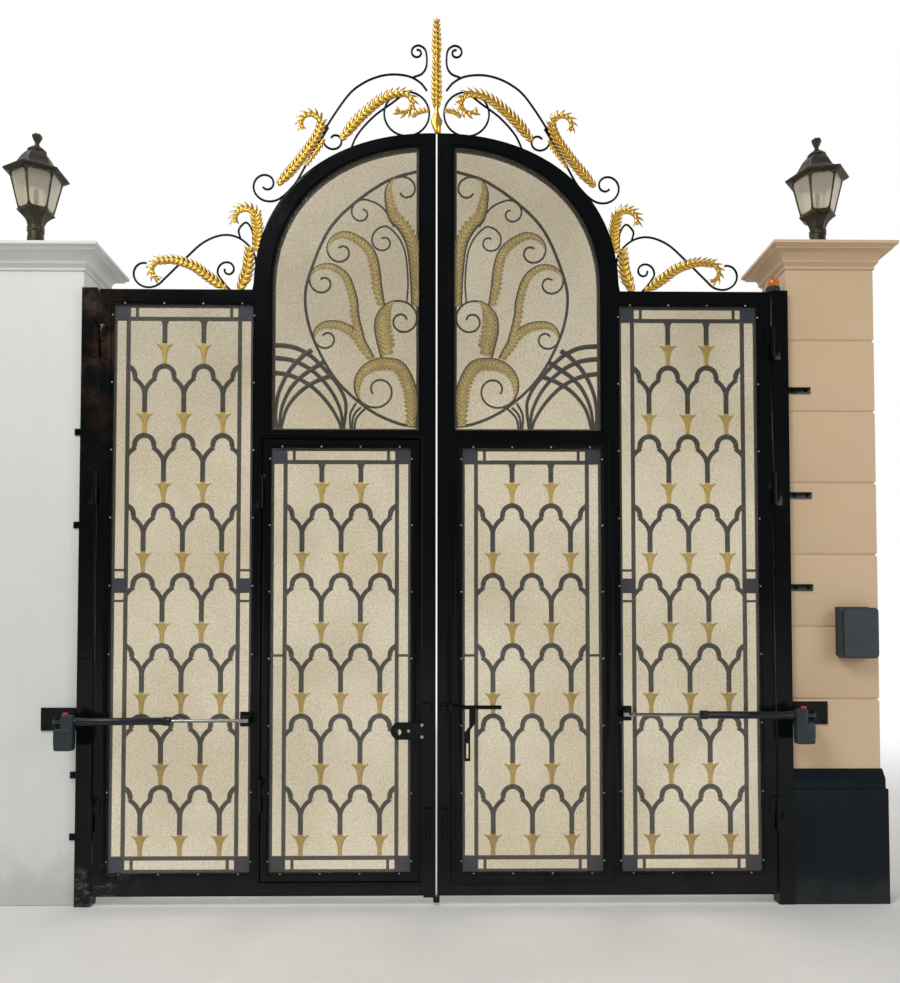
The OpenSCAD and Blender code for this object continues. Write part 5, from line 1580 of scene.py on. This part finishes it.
class GATE_OT_crest(bpy.types.Operator):
    """Make the crest's scrolls and gold leaves, and the finial"""
    bl_idname = "gate.crest"
    bl_label = "Crest"
    bl_options = {"REGISTER", "UNDO"}

    def execute(self, context):
        def leaf_rise(p):
            """How far a point stands in front of a leaf's stem, as a share."""
            return (CREST_Y - 0.0065 - p[:, 1]) / LEAF_RISE

        def finial_rise(p):
            """How far a point stands out of the finial, as a share."""
            off = (p[:, :2] - [GATE_X, FRONT_Y + LEAF_T / 2]) * [0.5, 1.0]
            return (np.linalg.norm(off, axis=1) - 0.004) / 0.009

        for side, name in SIDE_NAME.items():
            stand_in(name + "_crest_ironwork", crest_scrolls(side), name + "_crest_scrolls", sharp=50)
            # The leaves' gold paints shade between the leaflets and a highlight on their ridges, from rise
            stand_in(name + "_crest_feathers", crest_leaves(side), name + "_crest_leaves", rise=leaf_rise,
                     sharp=70)
        # The finial's gold paints shade in its hollows and a highlight on its ridges, from rise
        stand_in("feathered_finial", finial(), "crest_finial", rise=finial_rise, sharp=70)
        return {"FINISHED"}


class GATE_OT_rams(bpy.types.Operator):
    """Make the rams with their motors, rods and brackets"""
    bl_idname = "gate.rams"
    bl_label = "Rams"
    bl_options = {"REGISTER", "UNDO"}

    def execute(self, context):
        edge = context.scene.gate_sizes.steel_edge
        for side, name in SIDE_NAME.items():
            stand_in(name + "_ram_barrel", [ram_tube(side)], name + "_ram_tube", material="ram_barrel")
            stand_in(name + "_motor_case", ram_motor(side) + [ram_front(side)], name + "_ram_motor")
            piece(name + "_release_cap", [ram_cap(side)], body_of(name + "_ram_tube"), "ram_grey",
                  material="red_cap")
            eased(name + "_ram_rod", 0.001)
            eased(name + "_ram_bracket", edge)
            eased(name + "_leaf_bracket", edge)
        return {"FINISHED"}


class GATE_OT_fittings(bpy.types.Operator):
    """Finish the bolts, the latch plate and the fixings"""
    bl_idname = "gate.fittings"
    bl_label = "Bolts and fixings"
    bl_options = {"REGISTER", "UNDO"}

    def execute(self, context):
        for node in ("left_stile_fittings", "right_stile_fittings", "slide_bolt", "wicket_latch_plate"):
            eased(node, 0.0013)
        posts, leaves = plate_bolts()
        piece("wall_fixings", hex_heads(posts), "posts", "black_steel")
        for side, name in SIDE_NAME.items():
            piece(name + "_bracket_bolts", hex_heads(leaves[side], 0.0065, 0.0045),
                  body_of(name + "_leaf_bracket"), "black_steel")
        latch = [(GATE_X - u, FRONT_Y - 0.008, z)
                 for u, z in ((0.078, 0.903), (0.078, 0.967), (0.150, 0.935))]
        piece("latch_screws", hex_heads(latch, 0.006, 0.004), body_of("wicket_latch_plate"), "bright_rod",
              material="plated_steel")
        return {"FINISHED"}


class GATE_OT_lanterns(bpy.types.Operator):
    """Make the pier lanterns"""
    bl_idname = "gate.lanterns"
    bl_label = "Lanterns"
    bl_options = {"REGISTER", "UNDO"}

    def execute(self, context):
        for side, name in SIDE_NAME.items():
            stand_in(name + "_lantern_casting", lantern_body(side) + lantern_faces(side),
                     name + "_lantern_frame", sharp=38)
            stand_in(name + "_lantern_glazing", lantern_faces(side, pane=True), name + "_lantern_panes")
        return {"FINISHED"}


class GATE_OT_electrics(bpy.types.Operator):
    """Make the warning beacon and the control box"""
    bl_idname = "gate.electrics"
    bl_label = "Beacon and control box"
    bl_options = {"REGISTER", "UNDO"}

    def execute(self, context):
        foot = (GATE_X + CLEAR_HALF + 0.020, FRONT_Y + 0.0425, JAMB_H)
        piece("beacon_base", [beacon_base(foot)], "posts", "box_plastic", material="black_rubber")
        stand_in("beacon_ribbed_lens", [beacon_lens(foot)], "warning_beacon", sharp=60)
        eased("control_box", 0.004, segments=3, angle=40)
        return {"FINISHED"}


class GATE_PT_sidebar(bpy.types.Panel):
    """The gate's steps and settings"""
    bl_idname = "GATE_PT_sidebar"
    bl_label = "Driveway gate"
    bl_space_type = "VIEW_3D"
    bl_region_type = "UI"
    bl_category = "Gate"

    def draw(self, context):
        for group in GROUPS:
            settings = getattr(context.scene, group)
            column = self.layout.column(align=True)
            for key in settings.__annotations__:
                column.prop(settings, key)
        for step in STEPS:
            self.layout.operator(step.bl_idname)


STEPS = (GATE_OT_stage, GATE_OT_masonry, GATE_OT_frames, GATE_OT_grilles, GATE_OT_window, GATE_OT_crest,
         GATE_OT_rams, GATE_OT_fittings, GATE_OT_lanterns, GATE_OT_electrics)
GROUPS = {"gate_sizes": GateSizes, "gate_colours": GateColours, "gate_stage": StageLook}
CLASSES = (*GROUPS.values(), *STEPS, GATE_PT_sidebar)


def register():
    """Adds the classes and the groups of settings."""
    for cls in CLASSES:
        bpy.utils.register_class(cls)
    for name, cls in GROUPS.items():
        setattr(bpy.types.Scene, name, bpy.props.PointerProperty(type=cls))


def unregister():
    """Takes them away again."""
    for name in GROUPS:
        delattr(bpy.types.Scene, name)
    for cls in reversed(CLASSES):
        bpy.utils.unregister_class(cls)


def main():
    """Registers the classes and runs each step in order."""
    register()
    for step in STEPS:
        area, name = step.bl_idname.split(".")
        if getattr(getattr(bpy.ops, area), name)() != {"FINISHED"}:
            raise RuntimeError(step.bl_label + " did not finish")


if __name__ == "__main__":
    main()
